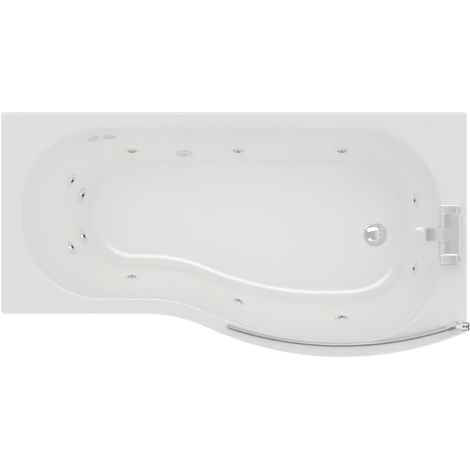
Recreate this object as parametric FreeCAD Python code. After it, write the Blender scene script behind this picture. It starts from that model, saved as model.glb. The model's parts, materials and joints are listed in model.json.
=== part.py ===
import FreeCAD
import Part
import math
import os

from FreeCAD import Vector

# A shower bath with a swinging front, water jets, a deck filler and a curved screen.
# Millimetres. +X is the foot end with the filler, +Y the wall side, +Z up.
# The origin is on the floor under the middle of the whole part.

# Bath outline in plan
bath_length = 1700.0
narrow_width = 737.0
broad_width = 895.0
swing_start = 527.0
broadest_at = 1244.0
bulge_share = 0.69
rim_corner = 14.0

# Bath heights and walls
rim_height = 560.0
floor_height = 150.0
shell_wall = 6.0
skirt_drop = 42.0
edge_roll = 11.0
rim_roll = 15.0
floor_fillet = 62.0

# Deck widths round the well, and how far each wall comes in on its way down
deck_head = 74.0
deck_foot = 104.0
deck_back = 61.0
deck_front = 60.0
run_head = 262.0
run_foot = 135.0
run_back = 136.0
run_front = 126.0
swell_run_share = 0.19
start_shift = 18.0
peak_shift = 60.0

# Corner radii of the well in plan, at the rim and on the floor
rim_head_corner = 290.0
rim_foot_corner = 335.0
floor_head_corner = 172.0
floor_foot_corner = 262.0
corner_limit_share = 0.47

# Shares of a fillet's turn at which its sections lie
fillet_shares = (0.0, 0.25, 0.5, 0.75, 1.0)

# Fits and cutting
clearance = 0.3
seat_gap = 0.3
overrun = 20.0

# Fittings through the wall: flat seats cut into both faces of the shell
seat_in = 1.0
seat_out = 1.8
gasket_thickness = 2.0
nut_thickness = 8.0
nut_rim = 6.0
nut_sides = 8
plumbing_wall = 3.5

# Whirlpool jets
jet_flange_radius = 26.0
jet_flange_height = 4.0
jet_flange_edge = 2.5
jet_sleeve_radius = 21.0
jet_sleeve_depth = 8.0
jet_ball_radius = 18.0
jet_ball_depth = 9.0
jet_ball_nose = 16.0
jet_ball_tail = 11.0
jet_bore_radius = 5.5
jet_mouth_radius = 7.2
jet_mouth_depth = 4.0
jet_body_radius = 25.0
jet_body_bore = 14.0
jet_body_length = 58.0
jet_body_end = 5.0
water_stub_at = 44.0
air_stub_at = 14.0
side_jet_height = 172.0
front_jet_height = 196.0
low_jet_height = 81.0
side_jet_shares = (0.281, 0.509)
broad_jet_share = 0.732
head_jet_shares = (-0.205, 0.195)
low_jet_shares = (-0.14, 0.108)
foot_jet_shares = (-0.28, 0.28)

# Suction fitting
suction_share = 0.393
suction_height = 141.0
suction_radius = 31.0
suction_cover_height = 7.0
suction_sleeve_radius = 22.0
suction_slot_width = 3.0
suction_slot_count = 7
suction_slot_share = 0.62
suction_body_radius = 29.0
suction_body_length = 40.0

# Push button and air control on the back wall near the head
button_share = 0.198
air_share = 0.232
control_drop = 92.0
control_radius = 21.0
control_face = 4.0
control_edge = 1.6
control_sleeve_radius = 16.0
control_well_radius = 13.5
control_tail = 26.0
button_travel = 3.0
button_proud = 1.5
dial_lift = 2.5
dial_grip_count = 5
dial_grip_radius = 1.6
bellows_radius = 15.0
bellows_length = 22.0
bellows_folds = 4
air_tail_radius = 13.0
air_tail_length = 30.0

# Waste, trap and overflow
waste_from_foot = 333.0
waste_radius = 43.0
waste_flange_height = 3.0
waste_throat = 27.0
waste_neck_radius = 31.0
waste_recess = 1.2
waste_seal_height = 3.0
waste_nut_height = 9.0
waste_body_radius = 37.0
waste_body_height = 40.0
plug_radius = 34.0
plug_height = 9.0
plug_stem_radius = 5.0
plug_stem_length = 34.0
spider_bar = 3.0
trap_pipe_radius = 20.0
trap_cup_radius = 30.0
trap_cup_height = 34.0
trap_edge = 8.0
trap_outlet_length = 120.0
trap_collar_length = 40.0
overflow_drop = 95.0
overflow_radius = 22.5
overflow_cover_height = 12.0
overflow_gap = 5.0
overflow_sleeve_radius = 13.0
overflow_body_radius = 20.0
overflow_body_length = 52.0
overflow_pipe_radius = 11.0
overflow_bend = 45.0
overflow_port_length = 10.0

# Deck filler
tap_from_foot = 44.0
tap_centres = 180.0
tap_hole_radius = 16.0
tap_seal_height = 1.5
tap_front_reach = 55.0
tap_back_reach = 17.0
tap_front_height = 12.0
tap_body_height = 40.0
tap_slope_share = 0.62
tap_end_reach = 18.0
tap_edge = 3.0
pillar_radius = 19.0
pillar_height = 44.0
spout_width = 46.0
spout_reach = 112.0
spout_thickness = 14.0
spout_rise = 52.0
spout_curl = 42.0
spout_curl_angle = 58.0
spout_slot_width = 36.0
spout_slot_height = 5.0
lever_width = 34.0
lever_reach = 56.0
lever_thickness = 9.0
lever_hub_radius = 18.0
lever_hub_height = 9.0
lever_tail_share = 0.33
lever_edge = 2.0
tail_radius = 13.2
tail_bore = 9.0
tail_length = 70.0
tail_end_radius = 11.0
tail_end_length = 40.0
tail_nut_radius = 21.0
tail_nut_height = 9.0

# Water and air mains, with a tee under each jet
water_pipe_radius = 16.0
water_tee_radius = 19.0
water_tee_length = 46.0
water_stub_radius = 12.0
water_main_drop = 148.0
air_pipe_radius = 7.0
air_tee_radius = 10.0
air_tee_length = 30.0
air_stub_radius = 6.0
air_main_drop = 82.0

# Pump under the head end
pump_axis_height = 85.0
volute_radius = 60.0
volute_width = 46.0
volute_edge = 8.0
pump_outlet_offset = 38.0
pump_outlet_radius = 18.0
pump_inlet_radius = 24.0
pump_inlet_length = 26.0
motor_radius = 52.0
motor_length = 150.0
motor_fin_height = 6.0
motor_fin_width = 3.0
motor_fin_count = 20
motor_end_length = 14.0
cowl_radius = 60.0
cowl_length = 46.0
cowl_edge = 8.0
cowl_slot_start_share = 0.22
cowl_slot_end_share = 0.65
cowl_slot_count = 12
cowl_slot_width = 4.0
terminal_length = 70.0
terminal_width = 56.0
terminal_height = 26.0
gland_radius = 8.0
gland_length = 14.0
pump_plate_length = 250.0
pump_plate_width = 130.0
pump_plate = 5.0
pump_foot_radius = 14.0
pump_foot_height = 12.0
pump_saddle_width = 60.0
suction_pipe_radius = 20.0
pipe_clear = 10.0
pipe_bend = 45.0

# Base board, leg rails and feet
board_thickness = 18.0
board_margin = 26.0
board_waste_gap = 12.0
rail_shares = (0.24, 0.54, 0.72)
rail_width = 40.0
rail_depth = 22.0
rail_wall = 2.5
rail_end_inset = 70.0
leg_inset = 24.0
stud_radius = 6.0
stud_above = 22.0
leg_nut_radius = 11.0
leg_nut_height = 8.0
leg_nut_sides = 6
pad_radius = 24.0
pad_rim = 5.0
pad_height = 18.0
pad_top_radius = 12.0
pad_socket = 10.0

# Timber frame under the rim and the moulded front panel
batten_inset = 18.0
batten_width = 32.0
batten_height = 18.0
batten_gap = 60.0
panel_inset = 9.0
panel_wall = 3.0
panel_top_gap = 26.0
plinth_height = 95.0
plinth_setback = 14.0
panel_end_gap = 30.0
clip_shares = (0.12, 0.36, 0.6, 0.76, 0.92)
clip_width = 40.0
clip_depth = 34.0
clip_drop = 42.0
clip_wall = 2.0
clip_gap = 0.7

# Curved screen, its hinge and its wall channel
screen_height = 1400.0
screen_width = 812.0
screen_radius = 1293.0
glass_thickness = 6.0
glass_corner = 110.0
hinge_from_foot = 48.5
hinge_from_front = 118.0
tile_thickness = 7.0
channel_depth = 30.0
channel_width = 29.0
channel_wall = 2.2
channel_corner = 4.0
post_wall = 2.0
post_lip = 3.0
cap_height = 5.0
cap_lug_width = 15.0
cap_port_radius = 3.4
cap_port_spacing = 10.6
hinge_pin_radius = 3.5
hinge_pin_length = 24.0
bulb_radius = 9.5
grip_length = 22.0
grip_width = 13.0
glass_setback = 13.0
seal_width = 11.0
seal_height = 15.0
seal_web = 4.0
seal_gap = 0.5
fixing_radius = 3.0
fixing_spacing = 1100.0

# Places that follow from the driving dimensions
bath_left = -bath_length / 2
bath_right = bath_left + bath_length
bath_back = broad_width / 2
bath_front = bath_back - narrow_width
floor_z = floor_height
well_depth = rim_height - floor_height
underside_z = floor_z - shell_wall
swell = broad_width - narrow_width
run_broad = run_front + swell * swell_run_share
swing_x = bath_left + swing_start
broadest_x = bath_left + broadest_at

X_AXIS = Vector(1, 0, 0)
Y_AXIS = Vector(0, 1, 0)
Z_AXIS = Vector(0, 0, 1)


def line(a, b):
    return Part.LineSegment(a, b).toShape()


def arc(centre, a, b):
    """Arc of less than half a circle about a centre, from a to b."""
    half = (a - centre) + (b - centre)
    half.normalize()
    return Part.Arc(a, centre + half * (a - centre).Length, b).toShape()


def outline(left, back, right, front, bulge_out, start, peak, head_corner, foot_corner, z):
    """Closed plan outline at height z: three straight sides and a front that swings out in two arcs."""
    room = back - front
    head_r = min(head_corner, corner_limit_share * room)
    foot_r = min(foot_corner, corner_limit_share * room)
    both = ((peak - start) ** 2 + bulge_out ** 2) / (2 * bulge_out)
    bulge = both * bulge_share
    hollow = both - bulge
    bulge_centre = Vector(peak, front - bulge_out + bulge, z)
    hollow_centre = Vector(start, front - hollow, z)
    turn = hollow_centre + (bulge_centre - hollow_centre) * (1 - bulge_share)
    foot_x = right - foot_r
    foot_y = bulge_centre.y - math.sqrt((bulge - foot_r) ** 2 - (foot_x - peak) ** 2)
    foot_centre = Vector(foot_x, foot_y, z)
    meet = bulge_centre + (foot_centre - bulge_centre) * (bulge / (bulge - foot_r))
    low = Vector(left, front + head_r, z)
    high = Vector(left, back - head_r, z)
    back_head = Vector(left + head_r, back, z)
    back_foot = Vector(foot_x, back, z)
    foot_high = Vector(right, back - foot_r, z)
    foot_low = Vector(right, foot_y, z)
    front_start = Vector(start, front, z)
    front_head = Vector(left + head_r, front, z)
    return Part.Wire([
        line(low, high),
        arc(Vector(left + head_r, back - head_r, z), high, back_head),
        line(back_head, back_foot),
        arc(Vector(foot_x, back - foot_r, z), back_foot, foot_high),
        line(foot_high, foot_low),
        arc(foot_centre, foot_low, meet),
        arc(bulge_centre, meet, turn),
        arc(hollow_centre, turn, front_start),
        line(front_start, front_head),
        arc(Vector(left + head_r, front + head_r, z), front_head, low),
    ])


def bath_outline(inset_by, z, corner=rim_corner):
    """The bath's outer outline, drawn in by a distance all round."""
    return outline(
        bath_left + inset_by,
        bath_back - inset_by,
        bath_right - inset_by,
        bath_front + inset_by,
        swell,
        swing_x,
        broadest_x,
        corner - inset_by,
        corner - inset_by,
        z,
    )


def wall_turn(run):
    """Angle that a fillet turns through between a wall of that run and a level face."""
    return math.pi / 2 - math.atan2(run, well_depth)


def inset(run, z, skin):
    """How far a wall of that run has come in at height z; skin steps out to the shell's outside."""
    turn = wall_turn(run)
    reach = floor_fillet + skin
    rise = floor_z + floor_fillet - z
    if rise > reach * math.cos(turn):
        foot = run + floor_fillet * math.tan(turn / 2)
        return foot - math.sqrt(max(0.0, reach ** 2 - rise ** 2))
    drop = rim_height - z
    if skin == 0 and drop < rim_roll * (1 - math.cos(turn)):
        return math.sqrt(max(0.0, rim_roll ** 2 - (rim_roll - drop) ** 2)) - rim_roll * math.tan(turn / 2)
    return run * drop / well_depth - skin / math.sin(turn)


def well_outline(z, skin=0.0, side_grow=0.0):
    """The well's outline at height z, on the inside or the outside of its wall, grown sideways."""
    share = (rim_height - z) / well_depth
    back_in = inset(run_back, z, skin) - side_grow
    front_in = inset(run_front, z, skin) - side_grow
    broad_in = inset(run_broad, z, skin) - side_grow
    head_in = inset(run_head, z, skin) - side_grow
    fillet_reach = run_back * share - back_in
    return outline(
        bath_left + deck_head + head_in,
        bath_back - deck_back - back_in,
        bath_right - deck_foot - inset(run_foot, z, skin) + side_grow,
        bath_front + deck_front + front_in,
        swell - broad_in + front_in,
        swing_x + start_shift * share,
        broadest_x - peak_shift * share,
        rim_head_corner + (floor_head_corner - rim_head_corner) * share + fillet_reach,
        rim_foot_corner + (floor_foot_corner - rim_foot_corner) * share + fillet_reach,
        z,
    )


def ring_face(outer, inner):
    """Level face between two outlines."""
    return Part.makeFace([outer, inner], "Part::FaceMakerBullseye")


def loft(wires, ruled):
    return Part.makeLoft(wires, False, ruled).Faces


def well_levels(skin):
    """Heights of the sections through the fillet at the foot of the wall, from the top down."""
    turn = wall_turn(min(run_head, run_foot, run_back, run_front, run_broad))
    reach = floor_fillet + skin
    return [floor_z + floor_fillet - reach * math.cos(turn * share) for share in reversed(fillet_shares)]


def well_faces():
    """The inside of the well: rolled rim edge, straight walls, floor fillet and floor."""
    turn = wall_turn(min(run_head, run_foot, run_back, run_front, run_broad))
    rim_levels = [rim_height - rim_roll * (1 - math.cos(turn * share)) for share in fillet_shares]
    foot_levels = well_levels(0.0)
    faces = loft([well_outline(z) for z in rim_levels], False)
    faces += loft([well_outline(rim_levels[-1]), well_outline(foot_levels[0])], True)
    faces += loft([well_outline(z) for z in foot_levels], False)
    faces.append(Part.Face(well_outline(floor_z)))
    return faces


def sewn(faces):
    shell = Part.Shell(faces)
    shell.sewShape()
    solid = Part.Solid(shell)
    if solid.Volume < 0:
        solid.reverse()
    return solid


def moulded_shell():
    """One moulding: well, flat deck, rolled outer edge, turned-down skirt and the outside of the well."""
    roll_levels = [share * math.pi / 2 for share in fillet_shares]
    roll = [bath_outline(edge_roll * (1 - math.sin(a)), rim_height - edge_roll * (1 - math.cos(a)))
            for a in roll_levels]
    skirt_z = rim_height - skirt_drop
    under_z = rim_height - shell_wall
    foot_levels = well_levels(shell_wall)
    faces = well_faces()
    faces.append(ring_face(bath_outline(edge_roll, rim_height), well_outline(rim_height)))
    faces += loft(roll, False)
    faces += loft([bath_outline(0.0, rim_height - edge_roll), bath_outline(0.0, skirt_z)], True)
    faces.append(ring_face(bath_outline(0.0, skirt_z), bath_outline(shell_wall, skirt_z)))
    faces += loft([bath_outline(shell_wall, skirt_z), bath_outline(shell_wall, under_z)], True)
    faces.append(ring_face(bath_outline(shell_wall, under_z), well_outline(under_z, shell_wall)))
    faces += loft([well_outline(under_z, shell_wall), well_outline(foot_levels[0], shell_wall)], True)
    faces += loft([well_outline(z, shell_wall) for z in foot_levels], False)
    faces.append(Part.Face(well_outline(underside_z, shell_wall)))
    return sewn(faces)


FULL_TURN = 360.0
ORIGIN = Vector(0, 0, 0)


def rod(base, axis, radius, length):
    return Part.makeCylinder(radius, length, base, axis)


def ring(base, axis, outer, inner, length):
    return rod(base, axis, outer, length).cut(rod(base - axis * overrun, axis, inner, length + 2 * overrun))


def block(low, high):
    size = high - low
    return Part.makeBox(size.x, size.y, size.z, low)


def placed(shape, base, axis):
    """A shape made on the origin along Z, set down on a base along an axis."""
    shape.Placement = FreeCAD.Placement(base, FreeCAD.Rotation(Z_AXIS, axis))
    return shape


def revolved(edges, base, axis):
    """Solid turned about an axis from the edges of a closed half section."""
    solid = Part.Face(Part.Wire(edges)).revolve(ORIGIN, Z_AXIS, FULL_TURN)
    if solid.Volume < 0:
        solid.reverse()
    return placed(solid, base, axis)


def polygon_edges(corners):
    return [line(a, b) for a, b in zip(corners, corners[1:] + corners[:1])]


def turned(profile, base, axis):
    """Solid turned about an axis from a closed profile of (radius, distance along) points."""
    return revolved(polygon_edges([Vector(radius, 0, along) for radius, along in profile]), base, axis)


def faceted(sides, radius, base, axis, length):
    """Prism on a regular polygon."""
    angles = [2 * math.pi * i / sides for i in range(sides)]
    corners = [Vector(radius * math.cos(a), radius * math.sin(a), 0) for a in angles]
    prism = Part.Face(Part.makePolygon(corners + corners[:1])).extrude(Z_AXIS * length)
    return placed(prism, base, axis)


def cap_of_sphere(base, radius, height):
    """Shallow dome standing on a level circle."""
    sphere_radius = (radius ** 2 + height ** 2) / (2 * height)
    sphere = Part.makeSphere(sphere_radius, base + Z_AXIS * (height - sphere_radius))
    return sphere.common(rod(base, Z_AXIS, radius, 2 * height))


# Places along a fitting's axis, from its seat inside the well outwards
wall_left = shell_wall - seat_in - seat_out
nut_at = wall_left + gasket_thickness
body_at = nut_at + nut_thickness + seat_gap
sleeve_end = body_at + jet_sleeve_depth - clearance

# Places of the fittings in the well
side_jet_z = floor_z + side_jet_height
head_mid_y = (bath_back - deck_back + bath_front + deck_front) / 2
head_span = narrow_width - deck_back - deck_front
foot_mid_y = bath_back - broad_width / 2

well = Part.Compound(well_faces()[:-1])


def wall_seat(start, direction):
    """Middle of a flat seat where a level line from inside meets the wall, and the way out of the well."""
    ray = line(start, start + direction * bath_length)
    point = ray.distToShape(well)[1][0][1]
    mark = Part.Vertex(point)
    face = min(well.Faces, key=lambda each: each.distToShape(mark)[0])
    normal = face.normalAt(*face.Surface.parameter(point))
    if normal.dot(direction) < 0:
        normal = normal * -1
    return point + normal * seat_in, normal


def along_bath(share, height):
    """Starting point inside the well, at a share of the bath's length and a height over its floor."""
    return Vector(bath_left + share * bath_length, head_mid_y, floor_z + height)


def head_seat(share, height):
    """Seat on the sloping head end, at a share of its width from its middle."""
    return wall_seat(Vector(swing_x, head_mid_y + share * head_span, floor_z + height), X_AXIS * -1)


def jet_seats():
    """Seats of the twelve jets: back, front, head end and foot end."""
    front = Y_AXIS * -1
    back_shares = side_jet_shares + (broad_jet_share,)
    seats = [wall_seat(along_bath(share, side_jet_height), Y_AXIS) for share in back_shares]
    seats += [wall_seat(along_bath(share, side_jet_height), front) for share in side_jet_shares]
    seats.append(wall_seat(along_bath(broad_jet_share, front_jet_height), front))
    seats += [head_seat(share, side_jet_height) for share in head_jet_shares]
    seats += [head_seat(share, low_jet_height) for share in low_jet_shares]
    for share in foot_jet_shares:
        start = Vector(broadest_x, foot_mid_y + share * broad_width / 2, side_jet_z)
        seats.append(wall_seat(start, X_AXIS))
    return seats


jets = jet_seats()
suction = wall_seat(along_bath(suction_share, suction_height), Y_AXIS)
control_height = well_depth - control_drop
button = wall_seat(along_bath(button_share, control_height), Y_AXIS)
air_control = wall_seat(along_bath(air_share, control_height), Y_AXIS)
overflow = wall_seat(Vector(broadest_x, foot_mid_y, rim_height - overflow_drop), X_AXIS)


def gasket(seat, normal, sleeve):
    outer = sleeve + nut_rim - clearance
    return ring(seat + normal * wall_left, normal, outer, sleeve + clearance, gasket_thickness)


def nut(seat, normal, sleeve):
    """Moulded back nut on a fitting's sleeve."""
    prism = faceted(nut_sides, sleeve + nut_rim, seat + normal * nut_at, normal, nut_thickness)
    hole = rod(seat + normal * (nut_at - overrun), normal, sleeve + clearance, 2 * overrun + nut_thickness)
    return prism.cut(hole)


def hollow_of_cup(bore, sleeve, length, seat, normal):
    """The space inside a body that takes a sleeve in its socket and is closed at its far end."""
    socket = rod(seat + normal * body_at, normal, sleeve + clearance, jet_sleeve_depth)
    return socket.fuse(rod(seat + normal * body_at, normal, bore, length - jet_body_end))


def wall_cut(seat, normal, face_radius, sleeve):
    """What a fitting takes out of the shell: its hole and a flat seat on each face."""
    hole = rod(seat - normal * overrun, normal, sleeve + clearance, 2 * overrun)
    inside = rod(seat - normal * overrun, normal, face_radius + clearance, overrun)
    outside = rod(seat + normal * wall_left, normal, sleeve + nut_rim + clearance, overrun)
    return [hole, inside, outside]


def jet_flange(seat, normal):
    """Trim ring with its sleeve through the wall and the front half of the ball's socket."""
    edge = jet_flange_radius - jet_flange_edge
    shoulder = jet_flange_edge - jet_flange_height
    profile = [(0, -jet_flange_height), (edge, -jet_flange_height), (jet_flange_radius, shoulder),
               (jet_flange_radius, 0), (jet_sleeve_radius, 0), (jet_sleeve_radius, sleeve_end),
               (0, sleeve_end)]
    centre = seat + normal * jet_ball_depth
    socket = Part.makeSphere(jet_ball_radius + clearance, centre)
    bore = rod(centre, normal, jet_ball_radius + clearance, sleeve_end)
    return turned(profile, seat, normal).cut(socket).cut(bore)


def jet_nozzle(seat, normal):
    """Ball with a flattened nose and tail and a flared bore."""
    nose = Vector(math.sqrt(jet_ball_radius ** 2 - jet_ball_nose ** 2), 0, -jet_ball_nose)
    tail = Vector(math.sqrt(jet_ball_radius ** 2 - jet_ball_tail ** 2), 0, jet_ball_tail)
    mouth = Vector(jet_mouth_radius, 0, -jet_ball_nose)
    throat = Vector(jet_bore_radius, 0, jet_mouth_depth - jet_ball_nose)
    exit_edge = Vector(jet_bore_radius, 0, jet_ball_tail)
    ball = Part.Arc(nose, Vector(jet_ball_radius, 0, 0), tail).toShape()
    edges = [line(mouth, nose), ball, line(tail, exit_edge), line(exit_edge, throat), line(throat, mouth)]
    return revolved(edges, seat + normal * jet_ball_depth, normal)


def suction_cover(seat, normal):
    """Slotted cover on a sleeve through the wall."""
    edge = suction_radius - suction_cover_height / 2
    bore = suction_sleeve_radius - plumbing_wall
    plate = -suction_cover_height / 2
    profile = [(0, -suction_cover_height), (edge, -suction_cover_height), (suction_radius, plate),
               (suction_radius, 0), (suction_sleeve_radius, 0), (suction_sleeve_radius, sleeve_end),
               (bore, sleeve_end), (bore, plate), (0, plate)]
    cover = turned(profile, ORIGIN, Z_AXIS)
    half = bore * suction_slot_share
    slots = []
    for i in range(suction_slot_count):
        x = half * (2 * i / (suction_slot_count - 1) - 1)
        reach = math.sqrt(bore ** 2 - x ** 2) - suction_slot_width
        low = Vector(x - suction_slot_width / 2, -reach, -overrun)
        slots.append(block(low, Vector(x + suction_slot_width / 2, reach, 0)))
    return placed(cover.cut(slots), seat, normal)


def control_housing(seat, normal, tail):
    """Bezel with a well for the moving piece and a threaded tail through the wall."""
    edge = control_radius - control_edge
    profile = [(0, -control_face), (edge, -control_face), (control_radius, control_edge - control_face),
               (control_radius, 0), (control_sleeve_radius, 0), (control_sleeve_radius, tail), (0, tail)]
    depth = overrun + button_travel + seat_gap
    room = rod(seat - normal * overrun, normal, control_well_radius + clearance, depth)
    return turned(profile, seat, normal).cut(room)


def push_button(seat, normal):
    """Domed push piece that stands a little proud of its bezel."""
    top = -control_face - button_proud
    edge = control_well_radius - control_edge
    profile = [(0, top), (edge, top), (control_well_radius, top + control_edge),
               (control_well_radius, 0), (0, 0)]
    return turned(profile, seat, normal)


def air_dial(seat, normal):
    """Flat dial with finger grooves round its edge."""
    top = -control_face - dial_lift
    foot = button_travel
    edge = control_well_radius - control_edge
    profile = [(0, top), (edge, top), (control_well_radius, top + control_edge),
               (control_well_radius, foot), (0, foot)]
    dial = turned(profile, ORIGIN, Z_AXIS)
    grooves = []
    for i in range(dial_grip_count):
        angle = 2 * math.pi * i / dial_grip_count
        place = Vector(control_well_radius * math.cos(angle), control_well_radius * math.sin(angle), top)
        grooves.append(rod(place, Z_AXIS, dial_grip_radius, dial_lift))
    return placed(dial.cut(grooves), seat, normal)


def bellows(seat, normal):
    """Air bellows behind the push button, with its folds."""
    start = control_tail
    pitch = bellows_length / bellows_folds
    profile = [(0, start)]
    for i in range(bellows_folds):
        fold = start + i * pitch
        profile += [(bellows_radius - pitch / 2, fold), (bellows_radius, fold + pitch / 2)]
    profile += [(bellows_radius - pitch / 2, start + bellows_length), (0, start + bellows_length)]
    return turned(profile, seat, normal)


# Mains: closed loops round the well, under the jets
wall_lean = math.sin(wall_turn(run_back))
water_reach = (body_at + water_stub_at) * wall_lean
air_reach = (body_at + air_stub_at) * wall_lean
water_z = side_jet_z - water_main_drop
air_z = side_jet_z - air_main_drop
main_back_y = bath_back - deck_back - inset(run_back, side_jet_z, 0.0) + water_reach
main_head_x = bath_left + deck_head + inset(run_head, side_jet_z, 0.0) - water_reach
main_foot_x = bath_right - deck_foot - inset(run_foot, side_jet_z, 0.0) + water_reach


def main_path(reach, z):
    path = well_outline(side_jet_z, 0.0, reach)
    path.translate(Z_AXIS * (z - side_jet_z))
    return path


water_path = main_path(water_reach, water_z)
air_path = main_path(air_reach, air_z)


def nearest_on(path, point):
    """Nearest place on a loop of lines and arcs, seen in plan, and the way along it there."""
    level = path.Vertexes[0].Point.z
    target = Vector(point.x, point.y, level)
    best = None
    for edge in path.Edges:
        at = min(max(edge.Curve.parameter(target), edge.FirstParameter), edge.LastParameter)
        place = edge.valueAt(at)
        if best is None or (place - target).Length < (best[0] - target).Length:
            best = (place, edge.tangentAt(at))
    return best


def tee(path, point, radius, length):
    """Sleeve on a main, nearest to a point."""
    place, way = nearest_on(path, point)
    return rod(place - way * (length / 2), way, radius, length), place


def jet_taps(seat, normal):
    """Where a jet's water and air leave its axis, and the place that their tees are nearest to."""
    water = seat + normal * (body_at + water_stub_at)
    air = seat + normal * (body_at + air_stub_at)
    if seat.z < floor_z + side_jet_height / 2:
        beside = Vector(main_head_x, seat.y, 0)
        return water, beside, air, beside
    return water, water, air, air


def jet_tees(seat, normal):
    """A jet's tee on the water main and its tee on the air main."""
    water, water_near, air, air_near = jet_taps(seat, normal)
    water_tee = tee(water_path, water_near, water_tee_radius, water_tee_length)
    return water_tee, tee(air_path, air_near, air_tee_radius, air_tee_length)


def jet_body(seat, normal):
    """Body that feeds a jet: a chamber on the sleeve, with stubs to tees on the water and the air main."""
    chamber = rod(seat + normal * body_at, normal, jet_body_radius, jet_body_length)
    (water_tee, water_place), (air_tee, air_place) = jet_tees(seat, normal)
    water, _, air, _ = jet_taps(seat, normal)
    water_stub = rod(water, water_place - water, water_stub_radius, (water_place - water).Length)
    air_stub = rod(air, air_place - air, air_stub_radius, (air_place - air).Length)
    hollow = hollow_of_cup(jet_body_bore, jet_sleeve_radius, jet_body_length, seat, normal)
    return chamber.fuse([water_tee, water_stub, air_tee, air_stub]).cut(hollow)


def loop_pipe(path, radius, tees):
    """Pipe along a closed loop, in lengths between its tees."""
    start = path.Edges[0]
    first = start.FirstParameter
    profile = Part.Wire(Part.makeCircle(radius, start.valueAt(first), start.tangentAt(first)))
    return path.makePipeShell([profile], True, False).cut(tees)


def bent_path(points, radius):
    """Straight runs joined by tangent arcs of one radius."""
    edges = []
    start = points[0]
    for before, corner, after in zip(points, points[1:], points[2:]):
        into = (corner - before).normalize()
        out = (after - corner).normalize()
        half = math.acos(max(-1.0, min(1.0, into.dot(out)))) / 2
        setback = radius * math.tan(half)
        first = corner - into * setback
        last = corner + out * setback
        middle = corner + (out - into).normalize() * (radius / math.cos(half) - radius)
        edges += [line(start, first), Part.Arc(first, middle, last).toShape()]
        start = last
    edges.append(line(start, points[-1]))
    return Part.Wire(edges)


def bent_pipe(points, radius, bend):
    path = bent_path(points, bend)
    profile = Part.Wire(Part.makeCircle(radius, points[0], points[1] - points[0]))
    return path.makePipeShell([profile], True, False)


# Pump under the head end, with its outlet below the water main
pump_x = main_head_x - pump_outlet_offset
pump_y = head_mid_y
volute_face_y = pump_y + volute_width / 2
volute_back_y = pump_y - volute_width / 2
motor_end_y = volute_back_y - motor_end_length
fins_end_y = motor_end_y - motor_length
cowl_end_y = fins_end_y - cowl_length
outlet_top_z = water_z - water_tee_radius - pipe_clear
suction_run_y = main_back_y + water_tee_radius + pipe_clear + suction_pipe_radius
suction_spigot_y = suction_run_y - pipe_bend - pipe_clear / 2
suction_tap = suction[0] + suction[1] * (body_at + suction_body_length / 2)
BACKWARDS = Y_AXIS * -1
pump_axis = Vector(pump_x, pump_y, pump_axis_height)


def on_pump_axis(y):
    return Vector(pump_x, y, pump_axis_height)


def suction_body(seat, normal):
    """Chamber behind the suction cover, with a spigot square to the bath's back."""
    chamber = rod(seat + normal * body_at, normal, suction_body_radius, suction_body_length)
    spigot = rod(suction_tap, Y_AXIS, suction_pipe_radius + plumbing_wall, suction_spigot_y - suction_tap.y)
    bore = suction_sleeve_radius - plumbing_wall
    hollow = hollow_of_cup(bore, suction_sleeve_radius, suction_body_length, seat, normal)
    return chamber.fuse(spigot).cut(hollow)


def suction_pipe():
    """Rigid pipe from the suction spigot down behind the well and along to the pump's inlet."""
    low_z = pump_axis_height
    return bent_pipe([
        Vector(suction_tap.x, suction_spigot_y, suction_tap.z),
        Vector(suction_tap.x, suction_run_y, suction_tap.z),
        Vector(suction_tap.x, suction_run_y, low_z),
        Vector(pump_x, suction_run_y, low_z),
        Vector(pump_x, volute_face_y + pump_inlet_length, low_z),
    ], suction_pipe_radius, pipe_bend)


def delivery_branch():
    """Tee on the water main over the pump's outlet, with its riser."""
    top = Vector(main_head_x, pump_y, outlet_top_z)
    sleeve = tee(water_path, top, water_tee_radius, water_tee_length)[0]
    riser = rod(top, Z_AXIS, water_pipe_radius, water_z - outlet_top_z)
    return sleeve.fuse(riser)


def pump_volute():
    """Wet end: a flat round casing with its inlet on the axis and a tangent outlet."""
    rim = volute_radius - volute_edge
    half = volute_width / 2
    profile = [(0, -half), (rim, -half), (volute_radius, volute_edge - half),
               (volute_radius, half - volute_edge), (rim, half), (0, half)]
    casing = turned(profile, pump_axis, Y_AXIS)
    inlet = rod(on_pump_axis(volute_face_y), Y_AXIS, pump_inlet_radius, pump_inlet_length)
    outlet_foot = Vector(main_head_x, pump_y, pump_axis_height)
    outlet = rod(outlet_foot, Z_AXIS, pump_outlet_radius, outlet_top_z - pump_axis_height)
    return casing.fuse([inlet, outlet])


def fin_profile():
    """Star-shaped section of the finned motor frame."""
    corners = []
    half = math.asin(motor_fin_width / 2 / motor_radius)
    crest = motor_radius + motor_fin_height
    for i in range(motor_fin_count):
        middle = 2 * math.pi * i / motor_fin_count
        for angle, radius in ((middle - half, motor_radius), (middle - half, crest),
                              (middle + half, crest), (middle + half, motor_radius)):
            corners.append(Vector(radius * math.cos(angle), 0, radius * math.sin(angle)))
    return Part.Face(Part.makePolygon(corners + corners[:1]))


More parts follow.
